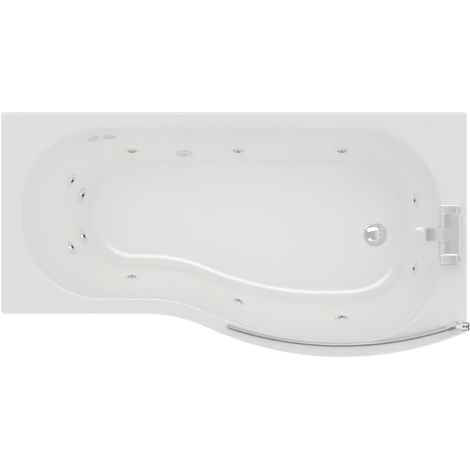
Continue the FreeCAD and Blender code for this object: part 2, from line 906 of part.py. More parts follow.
def pump_motor():
    """Motor: end bell, finned frame, slotted fan cowl and a terminal box with its cable gland."""
    bell = rod(on_pump_axis(volute_back_y), BACKWARDS, motor_radius + motor_fin_height, motor_end_length)
    frame = fin_profile()
    frame.translate(on_pump_axis(motor_end_y))
    frame = frame.extrude(BACKWARDS * motor_length)
    cowl = rod(on_pump_axis(fins_end_y), BACKWARDS, cowl_radius, cowl_length)
    middle_y = fins_end_y - cowl_length / 2
    far_rim = [edge for edge in cowl.Edges if edge.Closed and edge.CenterOfMass.y < middle_y]
    cowl = cowl.makeFillet(cowl_edge, far_rim)
    slots = []
    for i in range(cowl_slot_count):
        low = Vector(cowl_radius * cowl_slot_start_share, cowl_end_y - overrun, -cowl_slot_width / 2)
        high = Vector(cowl_radius * cowl_slot_end_share, cowl_end_y + cowl_slot_width, cowl_slot_width / 2)
        slot = block(low, high)
        slot.rotate(ORIGIN, Y_AXIS, FULL_TURN * i / cowl_slot_count)
        slot.translate(Vector(pump_x, 0, pump_axis_height))
        slots.append(slot)
    box_y = motor_end_y - terminal_length
    reach = motor_radius + motor_fin_height + terminal_height
    half = Vector(0, terminal_length / 2, terminal_width / 2)
    box = block(Vector(pump_x - reach, box_y, pump_axis_height) - half,
                Vector(pump_x - motor_radius / 2, box_y, pump_axis_height) + half)
    gland_foot = Vector(pump_x - reach + terminal_height / 2, box_y - terminal_length / 2, pump_axis_height)
    gland = rod(gland_foot, BACKWARDS, gland_radius, gland_length)
    return bell.fuse([frame, cowl.cut(slots), box, gland])


def pump_base():
    """Steel plate with a cradle under each end of the motor."""
    top = pump_foot_height + pump_plate
    middle_y = (volute_back_y + cowl_end_y) / 2
    half = Vector(pump_plate_width / 2, pump_plate_length / 2, 0)
    plate = block(Vector(pump_x, middle_y, pump_foot_height) - half, Vector(pump_x, middle_y, top) + half)
    cradles = []
    for high_y, low_y, radius in ((volute_back_y, motor_end_y, motor_radius + motor_fin_height),
                                  (fins_end_y - cowl_edge, cowl_end_y + cowl_edge, cowl_radius)):
        seat = block(Vector(pump_x - pump_saddle_width / 2, low_y, top),
                     Vector(pump_x + pump_saddle_width / 2, high_y, pump_axis_height - radius / 2))
        depth = cowl_length + 2 * overrun
        cradles.append(seat.cut(rod(on_pump_axis(high_y + overrun), BACKWARDS, radius + clearance, depth)))
    return plate.fuse(cradles)


def pump_feet():
    """Rubber feet under the pump's plate."""
    middle_y = (volute_back_y + cowl_end_y) / 2
    x_reach = pump_plate_width / 2 - pump_foot_radius
    y_reach = pump_plate_length / 2 - pump_foot_radius
    places = [Vector(pump_x + i * x_reach, middle_y + j * y_reach, 0) for i in (-1, 1) for j in (-1, 1)]
    return [rod(place, Z_AXIS, pump_foot_radius, pump_foot_height) for place in places]


def air_riser():
    """Pipe from the air control's tail, coped to it, down to a tee on the air main."""
    seat, normal = air_control
    top = seat + normal * (control_tail + air_tail_length / 2)
    place = nearest_on(air_path, top)[0]
    sleeve = tee(air_path, top, air_tee_radius, air_tee_length)[0]
    turn_z = air_z + air_tee_radius + 2 * air_pipe_radius
    points = [top, Vector(top.x, top.y, turn_z), Vector(place.x, place.y, turn_z), place]
    around = rod(seat + normal * control_tail, normal, air_tail_radius + clearance, air_tail_length)
    return bent_pipe(points, air_stub_radius, air_pipe_radius).cut(around).fuse(sleeve)


def air_tail(seat, normal):
    """Air valve chamber behind the air control."""
    return rod(seat + normal * control_tail, normal, air_tail_radius, air_tail_length)


# Waste in the floor, on the filler's centre line
waste_x = bath_right - waste_from_foot
waste_seat_z = floor_z - waste_recess
waste_nut_z = underside_z - waste_seal_height - waste_nut_height
waste_body_z = waste_nut_z - seat_gap - waste_body_height
neck_end_z = waste_nut_z - waste_body_height / 2
overflow_port_z = waste_body_z + waste_body_height / 2 - overflow_pipe_radius / 2


def on_waste(z):
    return Vector(waste_x, foot_mid_y, z)


def waste_cut():
    """What the waste takes out of the floor: its hole and a shallow recess for the flange."""
    depth = 2 * overrun + shell_wall
    hole = rod(on_waste(underside_z - overrun), Z_AXIS, waste_neck_radius + clearance, depth)
    return [hole, rod(on_waste(waste_seat_z), Z_AXIS, waste_radius + clearance, overrun)]


def waste_flange():
    """Flange with its threaded neck, and a four-armed spider that guides the plug's stem."""
    chamfer = waste_flange_height / 2
    profile = [(waste_throat, 0), (waste_neck_radius, 0), (waste_radius, 0), (waste_radius, chamfer),
               (waste_radius - chamfer, waste_flange_height), (waste_throat + chamfer, waste_flange_height),
               (waste_throat, chamfer)]
    flange = turned(profile, on_waste(waste_seat_z), Z_AXIS)
    neck = ring(on_waste(neck_end_z), Z_AXIS, waste_neck_radius, waste_throat, waste_seat_z - neck_end_z)
    boss = rod(on_waste(neck_end_z), Z_AXIS, plug_stem_radius + plumbing_wall, plug_stem_radius)
    arm = Vector(waste_throat + plumbing_wall / 2, spider_bar / 2, 0)
    across = Vector(arm.y, arm.x, 0)
    rise = Z_AXIS * plug_stem_radius
    middle = on_waste(neck_end_z)
    arms = [block(middle - reach, middle + reach + rise) for reach in (arm, across)]
    stem = rod(on_waste(neck_end_z - overrun), Z_AXIS, plug_stem_radius + clearance, 2 * overrun)
    return flange.fuse([neck, boss] + arms).cut(stem)


def waste_seal():
    base = on_waste(underside_z - waste_seal_height)
    outer = waste_body_radius + plumbing_wall
    return ring(base, Z_AXIS, outer, waste_neck_radius + clearance, waste_seal_height)


def waste_nut():
    prism = faceted(nut_sides, waste_radius, on_waste(waste_nut_z), Z_AXIS, waste_nut_height)
    depth = 2 * overrun + waste_nut_height
    return prism.cut(rod(on_waste(waste_nut_z - overrun), Z_AXIS, waste_neck_radius + clearance, depth))


def waste_plug():
    """Sprung dome plug on a stem, resting just clear of the flange."""
    base = on_waste(waste_seat_z + waste_flange_height + seat_gap)
    dome = cap_of_sphere(base, plug_radius, plug_height)
    return dome.fuse(rod(base - Z_AXIS * plug_stem_length, Z_AXIS, plug_stem_radius, plug_stem_length))


def waste_body():
    """Cup on the neck, with the overflow's side port and a threaded outlet below."""
    cup = rod(on_waste(waste_body_z), Z_AXIS, waste_body_radius, waste_body_height)
    port_end = waste_body_radius + overflow_port_length
    port = rod(on_waste(overflow_port_z), X_AXIS, overflow_pipe_radius + plumbing_wall, port_end)
    top = rod(on_waste(neck_end_z - seat_gap), Z_AXIS, waste_neck_radius + clearance, waste_body_height)
    outlet = trap_pipe_radius - plumbing_wall
    bore = rod(on_waste(waste_body_z - overrun), Z_AXIS, outlet, waste_body_height)
    room = waste_body_radius - 2 * plumbing_wall
    inner = rod(on_waste(waste_body_z + plumbing_wall), Z_AXIS, room, waste_body_height)
    return cup.fuse(port).cut([top, bore, inner])


def waste_trap():
    """Shallow trap: inlet, cup and an outlet towards the wall."""
    cup_z = waste_body_z - trap_cup_height - trap_pipe_radius
    inlet = rod(on_waste(cup_z), Z_AXIS, trap_pipe_radius, waste_body_z - cup_z)
    cup = rod(on_waste(cup_z), Z_AXIS, trap_cup_radius, trap_cup_height)
    cup = cup.makeFillet(trap_edge, [edge for edge in cup.Edges if edge.Closed])
    outlet_z = cup_z + trap_cup_height / 2
    outlet = rod(on_waste(outlet_z), Y_AXIS, trap_pipe_radius, trap_outlet_length)
    collar_at = on_waste(outlet_z) + Y_AXIS * trap_cup_radius
    collar = rod(collar_at, Y_AXIS, trap_pipe_radius + plumbing_wall, trap_collar_length)
    return cup.fuse([inlet, outlet, collar])


def overflow_rose(seat, normal):
    """Round cover that stands off the wall on a sleeve, so that water runs in behind its edge."""
    edge = overflow_radius - overflow_gap / 2
    bore = overflow_sleeve_radius - plumbing_wall
    shoulder = overflow_gap / 2 - overflow_cover_height
    profile = [(0, -overflow_cover_height), (edge, -overflow_cover_height),
               (overflow_radius, shoulder), (overflow_radius, -overflow_gap),
               (overflow_sleeve_radius, -overflow_gap), (overflow_sleeve_radius, sleeve_end),
               (bore, sleeve_end), (bore, -overflow_gap), (0, -overflow_gap)]
    rose = turned(profile, ORIGIN, Z_AXIS)
    slot = overflow_sleeve_radius / 2
    slots = [block(Vector(-overflow_radius, -slot, -overflow_gap), Vector(overflow_radius, slot, 0)),
             block(Vector(-slot, -overflow_radius, -overflow_gap), Vector(slot, overflow_radius, 0))]
    return placed(rose.cut(slots), seat, normal)


overflow_x = main_foot_x + water_pipe_radius + pipe_clear + overflow_pipe_radius
overflow_tap = overflow[0] + overflow[1] * ((overflow_x - overflow[0].x) / overflow[1].x)
overflow_spigot_z = overflow_tap.z - overflow_body_radius - pipe_clear


def overflow_body(seat, normal):
    """Elbow behind the overflow, with its spigot pointing down."""
    chamber = rod(seat + normal * body_at, normal, overflow_body_radius, overflow_body_length)
    spigot_end = Vector(overflow_x, foot_mid_y, overflow_spigot_z)
    length = overflow_tap.z - overflow_spigot_z
    spigot = rod(spigot_end, Z_AXIS, overflow_pipe_radius + plumbing_wall, length)
    bore = overflow_sleeve_radius - plumbing_wall
    hollow = hollow_of_cup(bore, overflow_sleeve_radius, overflow_body_length, seat, normal)
    return chamber.fuse(spigot).cut(hollow)


def overflow_pipe():
    """Pipe from the overflow down to the waste's side port."""
    return bent_pipe([
        Vector(overflow_x, foot_mid_y, overflow_spigot_z),
        Vector(overflow_x, foot_mid_y, overflow_port_z),
        on_waste(overflow_port_z) + X_AXIS * (waste_body_radius + overflow_port_length),
    ], overflow_pipe_radius, overflow_bend)


# Deck filler
tap_x = bath_right - tap_from_foot
tap_z = rim_height + tap_seal_height
tap_ends = (foot_mid_y - tap_centres / 2, foot_mid_y + tap_centres / 2)
pillar_top = tap_z + pillar_height


def across_bath(edges, width):
    """Prism on a closed profile of upright edges, centred on the filler's line."""
    face = Part.Face(Part.Wire(edges))
    face.translate(Y_AXIS * (foot_mid_y - width / 2))
    return face.extrude(Y_AXIS * width)


def tap_casting():
    """Body bar with its sloping front and two valve pillars."""
    front = tap_x - tap_front_reach
    back = tap_x + tap_back_reach
    crest = front + (back - front) * tap_slope_share
    top = tap_z + tap_body_height
    corners = [Vector(front, 0, tap_z), Vector(front, 0, tap_z + tap_front_height),
               Vector(crest, 0, top), Vector(back, 0, top), Vector(back, 0, tap_z)]
    bar = across_bath(polygon_edges(corners), tap_centres + 2 * tap_end_reach)
    bar = bar.makeFillet(tap_edge, [edge for edge in bar.Edges if edge.BoundBox.ZMax > tap_z + tap_edge])
    pillars = [rod(Vector(tap_x, y, tap_z), Z_AXIS, pillar_radius, pillar_height) for y in tap_ends]
    return bar.fuse(pillars)


def spout_band(outer, inner, tail_x, start_turn, width):
    """Flat band that runs level from tail_x and then curls down over the spout's last arc."""
    centre = Vector(tap_x - spout_reach + spout_curl * math.sin(math.radians(spout_curl_angle)), 0,
                    tap_z + spout_rise - spout_curl)

    def around(radius, turn):
        angle = math.radians(turn)
        return centre + Vector(-radius * math.sin(angle), 0, radius * math.cos(angle))

    first = [around(outer, start_turn), around(outer, spout_curl_angle)]
    last = [around(inner, spout_curl_angle), around(inner, start_turn)]
    edges = [arc(centre, *first), line(first[1], last[0]), arc(centre, *last)]
    if tail_x is None:
        edges.append(line(last[1], first[0]))
    else:
        rear = [Vector(tail_x, 0, last[1].z), Vector(tail_x, 0, first[0].z)]
        edges += [line(last[1], rear[0]), line(rear[0], rear[1]), line(rear[1], first[0])]
    return across_bath(edges, width)


def tap_body():
    """Casting with its flat curled spout and the slot that the water leaves by."""
    spout = spout_band(spout_curl, spout_curl - spout_thickness, tap_x, 0, spout_width)
    middle = spout_curl - spout_thickness / 2
    half = spout_slot_height / 2
    slot = spout_band(middle + half, middle - half, None, spout_curl_angle / 2, spout_slot_width)
    return tap_casting().fuse(spout).cut(slot)


def tap_lever(y):
    """Flat bar handle on a round hub."""
    hub_z = pillar_top + seat_gap
    hub = rod(Vector(tap_x, y, hub_z), Z_AXIS, lever_hub_radius, lever_hub_height)
    bar_z = hub_z + lever_hub_height / 2
    back_x = tap_x + lever_hub_radius * lever_tail_share
    bar = block(Vector(tap_x - lever_reach, y - lever_width / 2, bar_z),
                Vector(back_x, y + lever_width / 2, bar_z + lever_thickness))
    return hub.fuse(bar.makeFillet(lever_edge, bar.Edges))


def tap_seal():
    """Rubber bed between the filler and the deck."""
    y_reach = tap_centres / 2 + tap_end_reach - tap_edge
    bed = block(Vector(tap_x - tap_front_reach + tap_edge, foot_mid_y - y_reach, rim_height),
                Vector(tap_x + tap_back_reach, foot_mid_y + y_reach, tap_z))
    return bed.cut(tail_holes(tail_radius + clearance))


def tail_holes(radius):
    """Rods through the deck where the filler's tails pass."""
    return [rod(Vector(tap_x, y, rim_height - overrun), Z_AXIS, radius, 2 * overrun) for y in tap_ends]


def tap_tail(y):
    """Threaded tail with a plain end that the supply's connector slides on."""
    low = Vector(tap_x, y, tap_z - tail_length)
    end = ring(low, Z_AXIS, tail_end_radius, tail_bore, tail_end_length)
    shoulder = low + Z_AXIS * tail_end_length
    thread = ring(shoulder, Z_AXIS, tail_radius, tail_bore, tail_length - tail_end_length)
    return thread.fuse(end)


def tap_nut(y):
    base = Vector(tap_x, y, rim_height - shell_wall - tail_nut_height)
    prism = faceted(leg_nut_sides, tail_nut_radius, base, Z_AXIS, tail_nut_height)
    depth = 2 * overrun + tail_nut_height
    return prism.cut(rod(base - Z_AXIS * overrun, Z_AXIS, tail_radius + clearance, depth))


# Base board, legs, timber frame and front panel
board_z = underside_z - board_thickness
rail_z = board_z - rail_depth


def slab(wire, low_z, high_z):
    """Prism on a plan outline between two heights."""
    face = Part.Face(wire)
    face.translate(Z_AXIS * (low_z - wire.Vertexes[0].Point.z))
    return face.extrude(Z_AXIS * (high_z - low_z))


def base_board():
    """Board bonded under the floor, cut to its outline, with room for the waste."""
    board = slab(well_outline(floor_z, 0.0, -board_margin), board_z, underside_z)
    gap = waste_radius + board_waste_gap
    return board.cut(rod(on_waste(board_z - overrun), Z_AXIS, gap, 2 * overrun + board_thickness))


def front_y(x, z):
    """Where the bath's outer edge lies in front at a place along its length."""
    edge = bath_outline(0.0, z)
    ray = line(Vector(x, head_mid_y, z), Vector(x, head_mid_y - 2 * broad_width, z))
    return ray.distToShape(edge)[1][0][1].y


def rail_ends(share):
    """Middle of a leg rail's front and back end."""
    x = bath_left + share * bath_length
    front = Vector(x, front_y(x, rail_z) + rail_end_inset, rail_z)
    return front, Vector(x, bath_back - rail_end_inset, rail_z)


def leg_rail(share):
    """Steel channel across the bath, open downwards, with a hole for each leg."""
    front, back = rail_ends(share)
    half = rail_width / 2
    outside = block(front - X_AXIS * half, back + X_AXIS * half + Z_AXIS * rail_depth)
    inner = half - rail_wall
    inside = block(front - X_AXIS * inner - Vector(0, overrun, overrun),
                   back + X_AXIS * inner + Vector(0, overrun, rail_depth - rail_wall))
    feet = [leg + Z_AXIS * (rail_z - overrun) for leg in rail_legs(share)]
    holes = [rod(foot, Z_AXIS, stud_radius + clearance, rail_depth + 2 * overrun) for foot in feet]
    return outside.cut([inside] + holes)


def rail_legs(share):
    """Foot of each leg on a rail."""
    front, back = rail_ends(share)
    return [Vector(front.x, front.y + leg_inset, 0), Vector(back.x, back.y - leg_inset, 0)]


def all_legs():
    return [leg for share in rail_shares for leg in rail_legs(share)]


def leg_stud(leg):
    top = board_z + stud_above
    return rod(leg + Z_AXIS * (pad_height - pad_socket), Z_AXIS, stud_radius, top - pad_height + pad_socket)


def foot_pad(leg):
    """Levelling foot with a socket for its stud."""
    socket_z = pad_height - pad_socket
    socket = stud_radius + clearance
    profile = [(0, 0), (pad_radius, 0), (pad_radius, pad_rim), (pad_top_radius, pad_height),
               (socket, pad_height), (socket, socket_z), (0, socket_z)]
    return turned(profile, leg, Z_AXIS)


def leg_nuts(leg):
    """One nut on each side of the rail's web."""
    nuts = []
    for z in (board_z, board_z - rail_wall - leg_nut_height):
        prism = faceted(leg_nut_sides, leg_nut_radius, leg + Z_AXIS * z, Z_AXIS, leg_nut_height)
        depth = 2 * overrun + leg_nut_height
        hole = rod(leg + Z_AXIS * (z - overrun), Z_AXIS, stud_radius + clearance, depth)
        nuts.append(prism.cut(hole))
    return nuts


def edge_band(near, far, low_z, high_z):
    """Upright band that follows the bath's outline, between two distances in from its edge."""
    return slab(bath_outline(near, low_z, far + rim_corner), low_z, high_z).cut(
        slab(bath_outline(far, low_z, far + rim_corner), low_z - overrun, high_z + overrun))


def rim_battens():
    """Timber under the rim at the head end, the back and the front, with gaps at the corners."""
    top = rim_height - shell_wall
    low = top - batten_height
    band = edge_band(batten_inset, batten_inset + batten_width, low, top)
    reach = Vector(batten_gap, batten_gap, 2 * batten_height)
    foot = Vector(deck_foot + batten_gap, 0, 0)
    corners = [Vector(bath_left, y, low - batten_height / 2) for y in (bath_front, bath_back - batten_gap)]
    gaps = [block(corner, corner + reach) for corner in corners]
    gaps.append(block(Vector(bath_right, -broad_width, low - batten_height / 2) - foot,
                      Vector(bath_right, broad_width, top + batten_height / 2)))
    return band.cut(gaps).Solids


def front_panel():
    """Moulded panel that follows the swinging front, with a set-back plinth."""
    top = rim_height - panel_top_gap
    back_in = panel_inset + plinth_setback
    sheet = edge_band(panel_inset, panel_inset + panel_wall, plinth_height, top)
    shelf = edge_band(panel_inset, back_in + panel_wall, plinth_height - panel_wall, plinth_height)
    plinth = edge_band(back_in, back_in + panel_wall, 0.0, plinth_height - panel_wall)
    back_y = bath_front + panel_end_gap + plinth_setback
    keep = block(Vector(bath_left + panel_end_gap, -broad_width, -overrun),
                 Vector(bath_right - panel_end_gap, back_y, rim_height))
    return sheet.fuse([shelf, plinth]).common(keep)


def panel_clip(share):
    """Angle under the front batten that the panel's back bears on."""
    top = rim_height - shell_wall - batten_height
    behind = bath_outline(panel_inset + panel_wall, top, panel_inset + panel_wall + rim_corner)
    place, way = nearest_on(behind, Vector(bath_left + share * bath_length, -broad_width, top))
    inward = Vector(-way.y, way.x, 0)
    if inward.y < 0:
        inward = inward * -1
    near = place + inward * clip_gap
    far = near + inward * clip_depth
    corner = near + inward * clip_wall
    corners = [near, far, far - Z_AXIS * clip_wall, corner - Z_AXIS * clip_wall,
               corner - Z_AXIS * clip_drop, near - Z_AXIS * clip_drop]
    side = Z_AXIS.cross(inward)
    face = Part.Face(Part.Wire(polygon_edges(corners)))
    face.translate(side * (-clip_width / 2))
    return face.extrude(side * clip_width)


# Curved screen on a hinge beside the filler's end
hinge_x = bath_right - hinge_from_foot
hinge_y = bath_back - broad_width + hinge_from_front
screen_z = rim_height + seal_gap
screen_top = rim_height + screen_height
sweep = math.asin(screen_width / 2 / screen_radius)
leave = Vector(-math.cos(sweep), -math.sin(sweep), 0)
aside = Vector(-math.sin(sweep), math.cos(sweep), 0)
hinge = Vector(hinge_x, hinge_y, 0)
screen_centre = hinge + leave * glass_setback + aside * screen_radius
channel_back_x = bath_right - tile_thickness
channel_face_x = channel_back_x - channel_depth


def screen_band(thickness, low_z, high_z, setback=0.0):
    """Curved band on the screen's own arc, from its hinge edge to its free edge."""
    start = -math.pi / 2 + sweep - setback / screen_radius
    end = -math.pi / 2 - sweep
    corners = []
    for radius in (screen_radius - thickness / 2, screen_radius + thickness / 2):
        for angle in (start, (start + end) / 2, end):
            reach = Vector(math.cos(angle), math.sin(angle), 0) * radius
            corners.append(screen_centre + reach + Z_AXIS * low_z)
    inner = Part.Arc(*corners[:3]).toShape()
    outer = Part.Arc(*corners[3:]).toShape()
    wire = Part.Wire([inner, line(corners[2], corners[5]), outer, line(corners[3], corners[0])])
    return Part.Face(wire).extrude(Z_AXIS * (high_z - low_z))


def screen_glass():
    """Toughened glass with a rounded upper corner at its free edge."""
    glass = screen_band(glass_thickness, screen_z + seal_web, screen_top)
    free_x = glass.BoundBox.XMin
    centre = Vector(free_x + glass_corner, hinge_y - broad_width, screen_top - glass_corner)
    corner = block(Vector(free_x - overrun, centre.y, centre.z),
                   Vector(centre.x, hinge_y + broad_width, screen_top + overrun))
    return glass.cut(corner.cut(rod(centre - Y_AXIS * overrun, Y_AXIS, glass_corner, 3 * broad_width)))


def screen_seal():
    """Rubber strip under the glass."""
    strip = screen_band(seal_width, screen_z, screen_z + seal_height, grip_length + seal_web)
    top = screen_z + seal_height + overrun
    slot = screen_band(glass_thickness + 2 * clearance, screen_z + seal_web, top)
    return strip.cut(slot)


def upright(shape_face, low_z, high_z):
    shape_face.translate(Z_AXIS * low_z)
    return shape_face.extrude(Z_AXIS * (high_z - low_z))


def screen_pivot():
    """Hinge profile: a bored round bulb and a grip for the edge of the glass."""
    low = rim_height + cap_height + seal_gap
    high = screen_top - cap_height - seal_gap
    bulb = rod(hinge + Z_AXIS * low, Z_AXIS, bulb_radius, high - low)
    side = aside * (grip_width / 2)
    corners = [hinge + side, hinge + leave * (glass_setback + grip_length) + side,
               hinge + leave * (glass_setback + grip_length) - side, hinge - side]
    grip = upright(Part.Face(Part.Wire(polygon_edges(corners))), low, high)
    depth = high - low + 2 * overrun
    bore = rod(hinge + Z_AXIS * (low - overrun), Z_AXIS, hinge_pin_radius + clearance, depth)
    slot = screen_band(glass_thickness + 2 * clearance, low - overrun, high + overrun, -clearance)
    return bulb.fuse(grip).cut([bore, slot])


def wall_side_uprights(box, height):
    """The two upright edges of a box on the channel that are nearest to the wall."""
    middle_x = (channel_face_x + channel_back_x) / 2
    uprights = [edge for edge in box.Edges if edge.BoundBox.ZLength > height / 2]
    return [edge for edge in uprights if edge.CenterOfMass.x > middle_x]


def wall_channel():
    """U-shaped channel screwed to the wall, open towards the screen."""
    half = channel_width / 2
    low = Vector(channel_face_x, hinge_y - half, rim_height + cap_height)
    high = Vector(channel_back_x, hinge_y + half, screen_top - cap_height)
    outside = block(low, high)
    outside = outside.makeFillet(channel_corner, wall_side_uprights(outside, high.z - low.z))
    inside = block(low + Vector(-overrun, channel_wall, -overrun),
                   high + Vector(-channel_wall, -channel_wall, overrun))
    middle_z = (low.z + high.z) / 2
    places = [Vector(channel_back_x - overrun, hinge_y, middle_z + i * fixing_spacing / 2) for i in (-1, 1)]
    holes = [rod(place, X_AXIS, fixing_radius, 2 * overrun) for place in places]
    return outside.cut([inside] + holes)


def screen_post():
    """Box profile that slides into the wall channel and carries the hinge."""
    half = channel_width / 2 - channel_wall - clearance
    face = channel_face_x + post_lip
    back = channel_back_x - channel_wall - post_lip
    low = rim_height + cap_height
    high = screen_top - cap_height
    tube = block(Vector(face, hinge_y - half, low), Vector(back, hinge_y + half, high))
    room = half - post_wall
    inside = block(Vector(face + post_wall, hinge_y - room, low - overrun),
                   Vector(back - post_wall, hinge_y + room, high + overrun))
    return tube.cut(inside)


def end_cap(face_z, into):
    """Moulded cap on an end of the channel, with a lug and a hinge pin; into is 1 or -1 along the post."""
    half = channel_width / 2
    low = min(face_z, face_z + into * cap_height)
    body = block(Vector(channel_face_x, hinge_y - half, low),
                 Vector(channel_back_x, hinge_y + half, low + cap_height))
    body = body.makeFillet(channel_corner, wall_side_uprights(body, cap_height))
    lug = block(Vector(hinge_x, hinge_y - cap_lug_width / 2, low),
                Vector(channel_face_x + post_lip, hinge_y + cap_lug_width / 2, low + cap_height))
    round_end = rod(Vector(hinge_x, hinge_y, low), Z_AXIS, cap_lug_width / 2, cap_height)
    pin_length = cap_height + hinge_pin_length
    pin = rod(Vector(hinge_x, hinge_y, face_z), Z_AXIS * into, hinge_pin_radius, pin_length)
    middle_x = (channel_face_x + channel_back_x) / 2
    places = [Vector(middle_x + i * cap_port_spacing / 2, hinge_y, low - overrun) for i in (-1, 1)]
    ports = [rod(place, Z_AXIS, cap_port_radius, 2 * overrun) for place in places]
    return body.fuse([lug, round_end, pin]).cut(ports)


def screen_end_caps():
    return [end_cap(rim_height, 1), end_cap(screen_top, -1)]


def bath_shell():
    """The moulding with every hole and seat that the fittings need."""
    cuts = waste_cut() + tail_holes(tap_hole_radius)
    for seat, normal in jets:
        cuts += wall_cut(seat, normal, jet_flange_radius, jet_sleeve_radius)
    cuts += wall_cut(*suction, suction_radius, suction_sleeve_radius)
    cuts += wall_cut(*overflow, overflow_sleeve_radius, overflow_sleeve_radius)
    for place in (button, air_control):
        cuts += wall_cut(*place, control_radius, control_sleeve_radius)
    return moulded_shell().cut(cuts)


def water_main():
    branch = delivery_branch()
    tees = [jet_tees(*jet)[0][0] for jet in jets]
    return loop_pipe(water_path, water_pipe_radius, tees + [branch]).Solids + [branch]


def air_main():
    riser = air_riser()
    tees = [jet_tees(*jet)[1][0] for jet in jets]
    return loop_pipe(air_path, air_pipe_radius, tees + [riser]).Solids + [riser]


def wall_fittings():
    """Seat, way out and sleeve radius of everything that goes through the wall."""
    fittings = [(seat, normal, jet_sleeve_radius) for seat, normal in jets]
    fittings.append((*suction, suction_sleeve_radius))
    fittings.append((*overflow, overflow_sleeve_radius))
    fittings += [(*place, control_sleeve_radius) for place in (button, air_control)]
    return fittings


def nodes():
    """Every sub-part of the bath by name, each a solid or a list of separate solids."""
    parts = {
        "bath_shell": bath_shell(),
        "base_board": base_board(),
        "rim_battens": rim_battens(),
        "leg_rails": [leg_rail(share) for share in rail_shares],
        "leg_studs": [leg_stud(leg) for leg in all_legs()],
        "leg_nuts": [each for leg in all_legs() for each in leg_nuts(leg)],
        "foot_pads": [foot_pad(leg) for leg in all_legs()],
        "front_panel": front_panel(),
        "panel_clips": [panel_clip(share) for share in clip_shares],
        "waste_flange": waste_flange(),
        "waste_nut": waste_nut(),
        "waste_plug": waste_plug(),
        "waste_body": waste_body(),
        "waste_trap": waste_trap(),
        "overflow_rose": overflow_rose(*overflow),
        "overflow_body": overflow_body(*overflow),
        "overflow_pipe": overflow_pipe(),
        "tap_body": tap_body(),
        "tap_seal": tap_seal(),
        "tap_tails": [tap_tail(y) for y in tap_ends],
        "tap_nuts": [tap_nut(y) for y in tap_ends],
        "cold_lever": tap_lever(tap_ends[0]),
        "hot_lever": tap_lever(tap_ends[1]),
        "jet_flanges": [jet_flange(*jet) for jet in jets],
        "seal_rings": [gasket(*fitting) for fitting in wall_fittings()] + [waste_seal()],
        "wall_nuts": [nut(*fitting) for fitting in wall_fittings()],
        "jet_bodies": [jet_body(*jet) for jet in jets],
        "suction_cover": suction_cover(*suction),
        "suction_body": suction_body(*suction),
        "suction_pipe": suction_pipe(),
        "button_housing": control_housing(*button, control_tail),
        "on_off_button": push_button(*button),
        "button_bellows": bellows(*button),
        "air_housing": control_housing(*air_control, control_tail),
        "air_dial": air_dial(*air_control),
        "air_valve": air_tail(*air_control),
        "water_main": water_main(),
        "air_main": air_main(),
        "pump_volute": pump_volute(),
        "pump_motor": pump_motor(),
        "pump_base": pump_base(),
        "pump_feet": pump_feet(),
        "wall_channel": wall_channel(),
        "screen_post": screen_post(),
        "screen_end_caps": screen_end_caps(),
        "screen_pivot": screen_pivot(),
        "screen_glass": screen_glass(),
        "screen_seal": screen_seal(),
    }
    for i, jet in enumerate(jets):
        parts["jet_nozzle_%02d" % (i + 1)] = jet_nozzle(*jet)
    return parts


def main():
    os.makedirs("parts", exist_ok=True)
    for name, shape in nodes().items():
        pieces = shape if isinstance(shape, list) else [shape]
        solids = [solid for piece in pieces for solid in piece.Solids]
        result = solids[0] if len(solids) == 1 else Part.Compound(solids)
        result.exportStep("parts/" + name + ".step")


main()
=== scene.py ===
import json
import math

import bmesh
import bpy
from mathutils import Matrix, Vector


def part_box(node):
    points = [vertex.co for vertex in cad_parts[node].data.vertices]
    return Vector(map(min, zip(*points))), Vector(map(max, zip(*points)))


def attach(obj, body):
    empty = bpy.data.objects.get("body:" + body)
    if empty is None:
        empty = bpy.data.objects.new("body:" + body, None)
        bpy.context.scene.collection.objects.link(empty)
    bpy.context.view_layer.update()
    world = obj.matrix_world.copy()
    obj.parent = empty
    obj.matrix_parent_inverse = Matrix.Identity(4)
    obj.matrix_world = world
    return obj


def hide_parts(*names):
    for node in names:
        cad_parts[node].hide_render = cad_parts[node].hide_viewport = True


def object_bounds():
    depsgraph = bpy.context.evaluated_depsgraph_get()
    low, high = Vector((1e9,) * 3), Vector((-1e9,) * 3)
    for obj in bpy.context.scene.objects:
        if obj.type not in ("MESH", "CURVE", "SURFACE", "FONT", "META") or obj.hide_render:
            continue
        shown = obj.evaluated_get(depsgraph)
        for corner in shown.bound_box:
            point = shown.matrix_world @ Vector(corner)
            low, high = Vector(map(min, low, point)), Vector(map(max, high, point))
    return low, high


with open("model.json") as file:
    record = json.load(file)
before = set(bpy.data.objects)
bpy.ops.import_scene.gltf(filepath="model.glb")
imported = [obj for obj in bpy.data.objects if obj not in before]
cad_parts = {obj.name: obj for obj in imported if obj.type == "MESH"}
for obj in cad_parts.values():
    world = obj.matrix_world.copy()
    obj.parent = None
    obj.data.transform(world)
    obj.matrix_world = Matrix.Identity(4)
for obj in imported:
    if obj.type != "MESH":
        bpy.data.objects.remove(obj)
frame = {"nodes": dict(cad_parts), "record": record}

# A shower bath with water jets, a deck filler and a curved screen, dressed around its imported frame.
# Metres. +X is the foot end with the filler, +Y the wall side, +Z up.

cad_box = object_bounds()
nodes = frame["nodes"]
record = frame["record"]
body_of = {node: body for body, group in record["behaviour"]["bodies"].items() for node in group}
slot_of = {part["node"]: part["material_slot"] for part in record["subparts"]}
jet_names = sorted(name for name in nodes if name.startswith("jet_nozzle_"))
rim_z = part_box("bath_shell")[1].z

MM = 0.001
UP = Vector((0, 0, 1))
FULL_TURN = 2 * math.pi

# Mesh work: how near is the same place, how sharp is a crease, how flat is flat
MERGE = 0.002 * MM
CREASE = math.radians(28)
FLAT_ANGLE = math.radians(0.2)
SAME_WAY = 0.999
PLACE_DIGITS = 4
WAY_DIGITS = 2
FACE_AREA_WEIGHT = 80
ROUND_STEPS = 64
SMALL_ROUND_STEPS = 32
THREAD_STEPS = 20
THREAD_CORNERS = 3

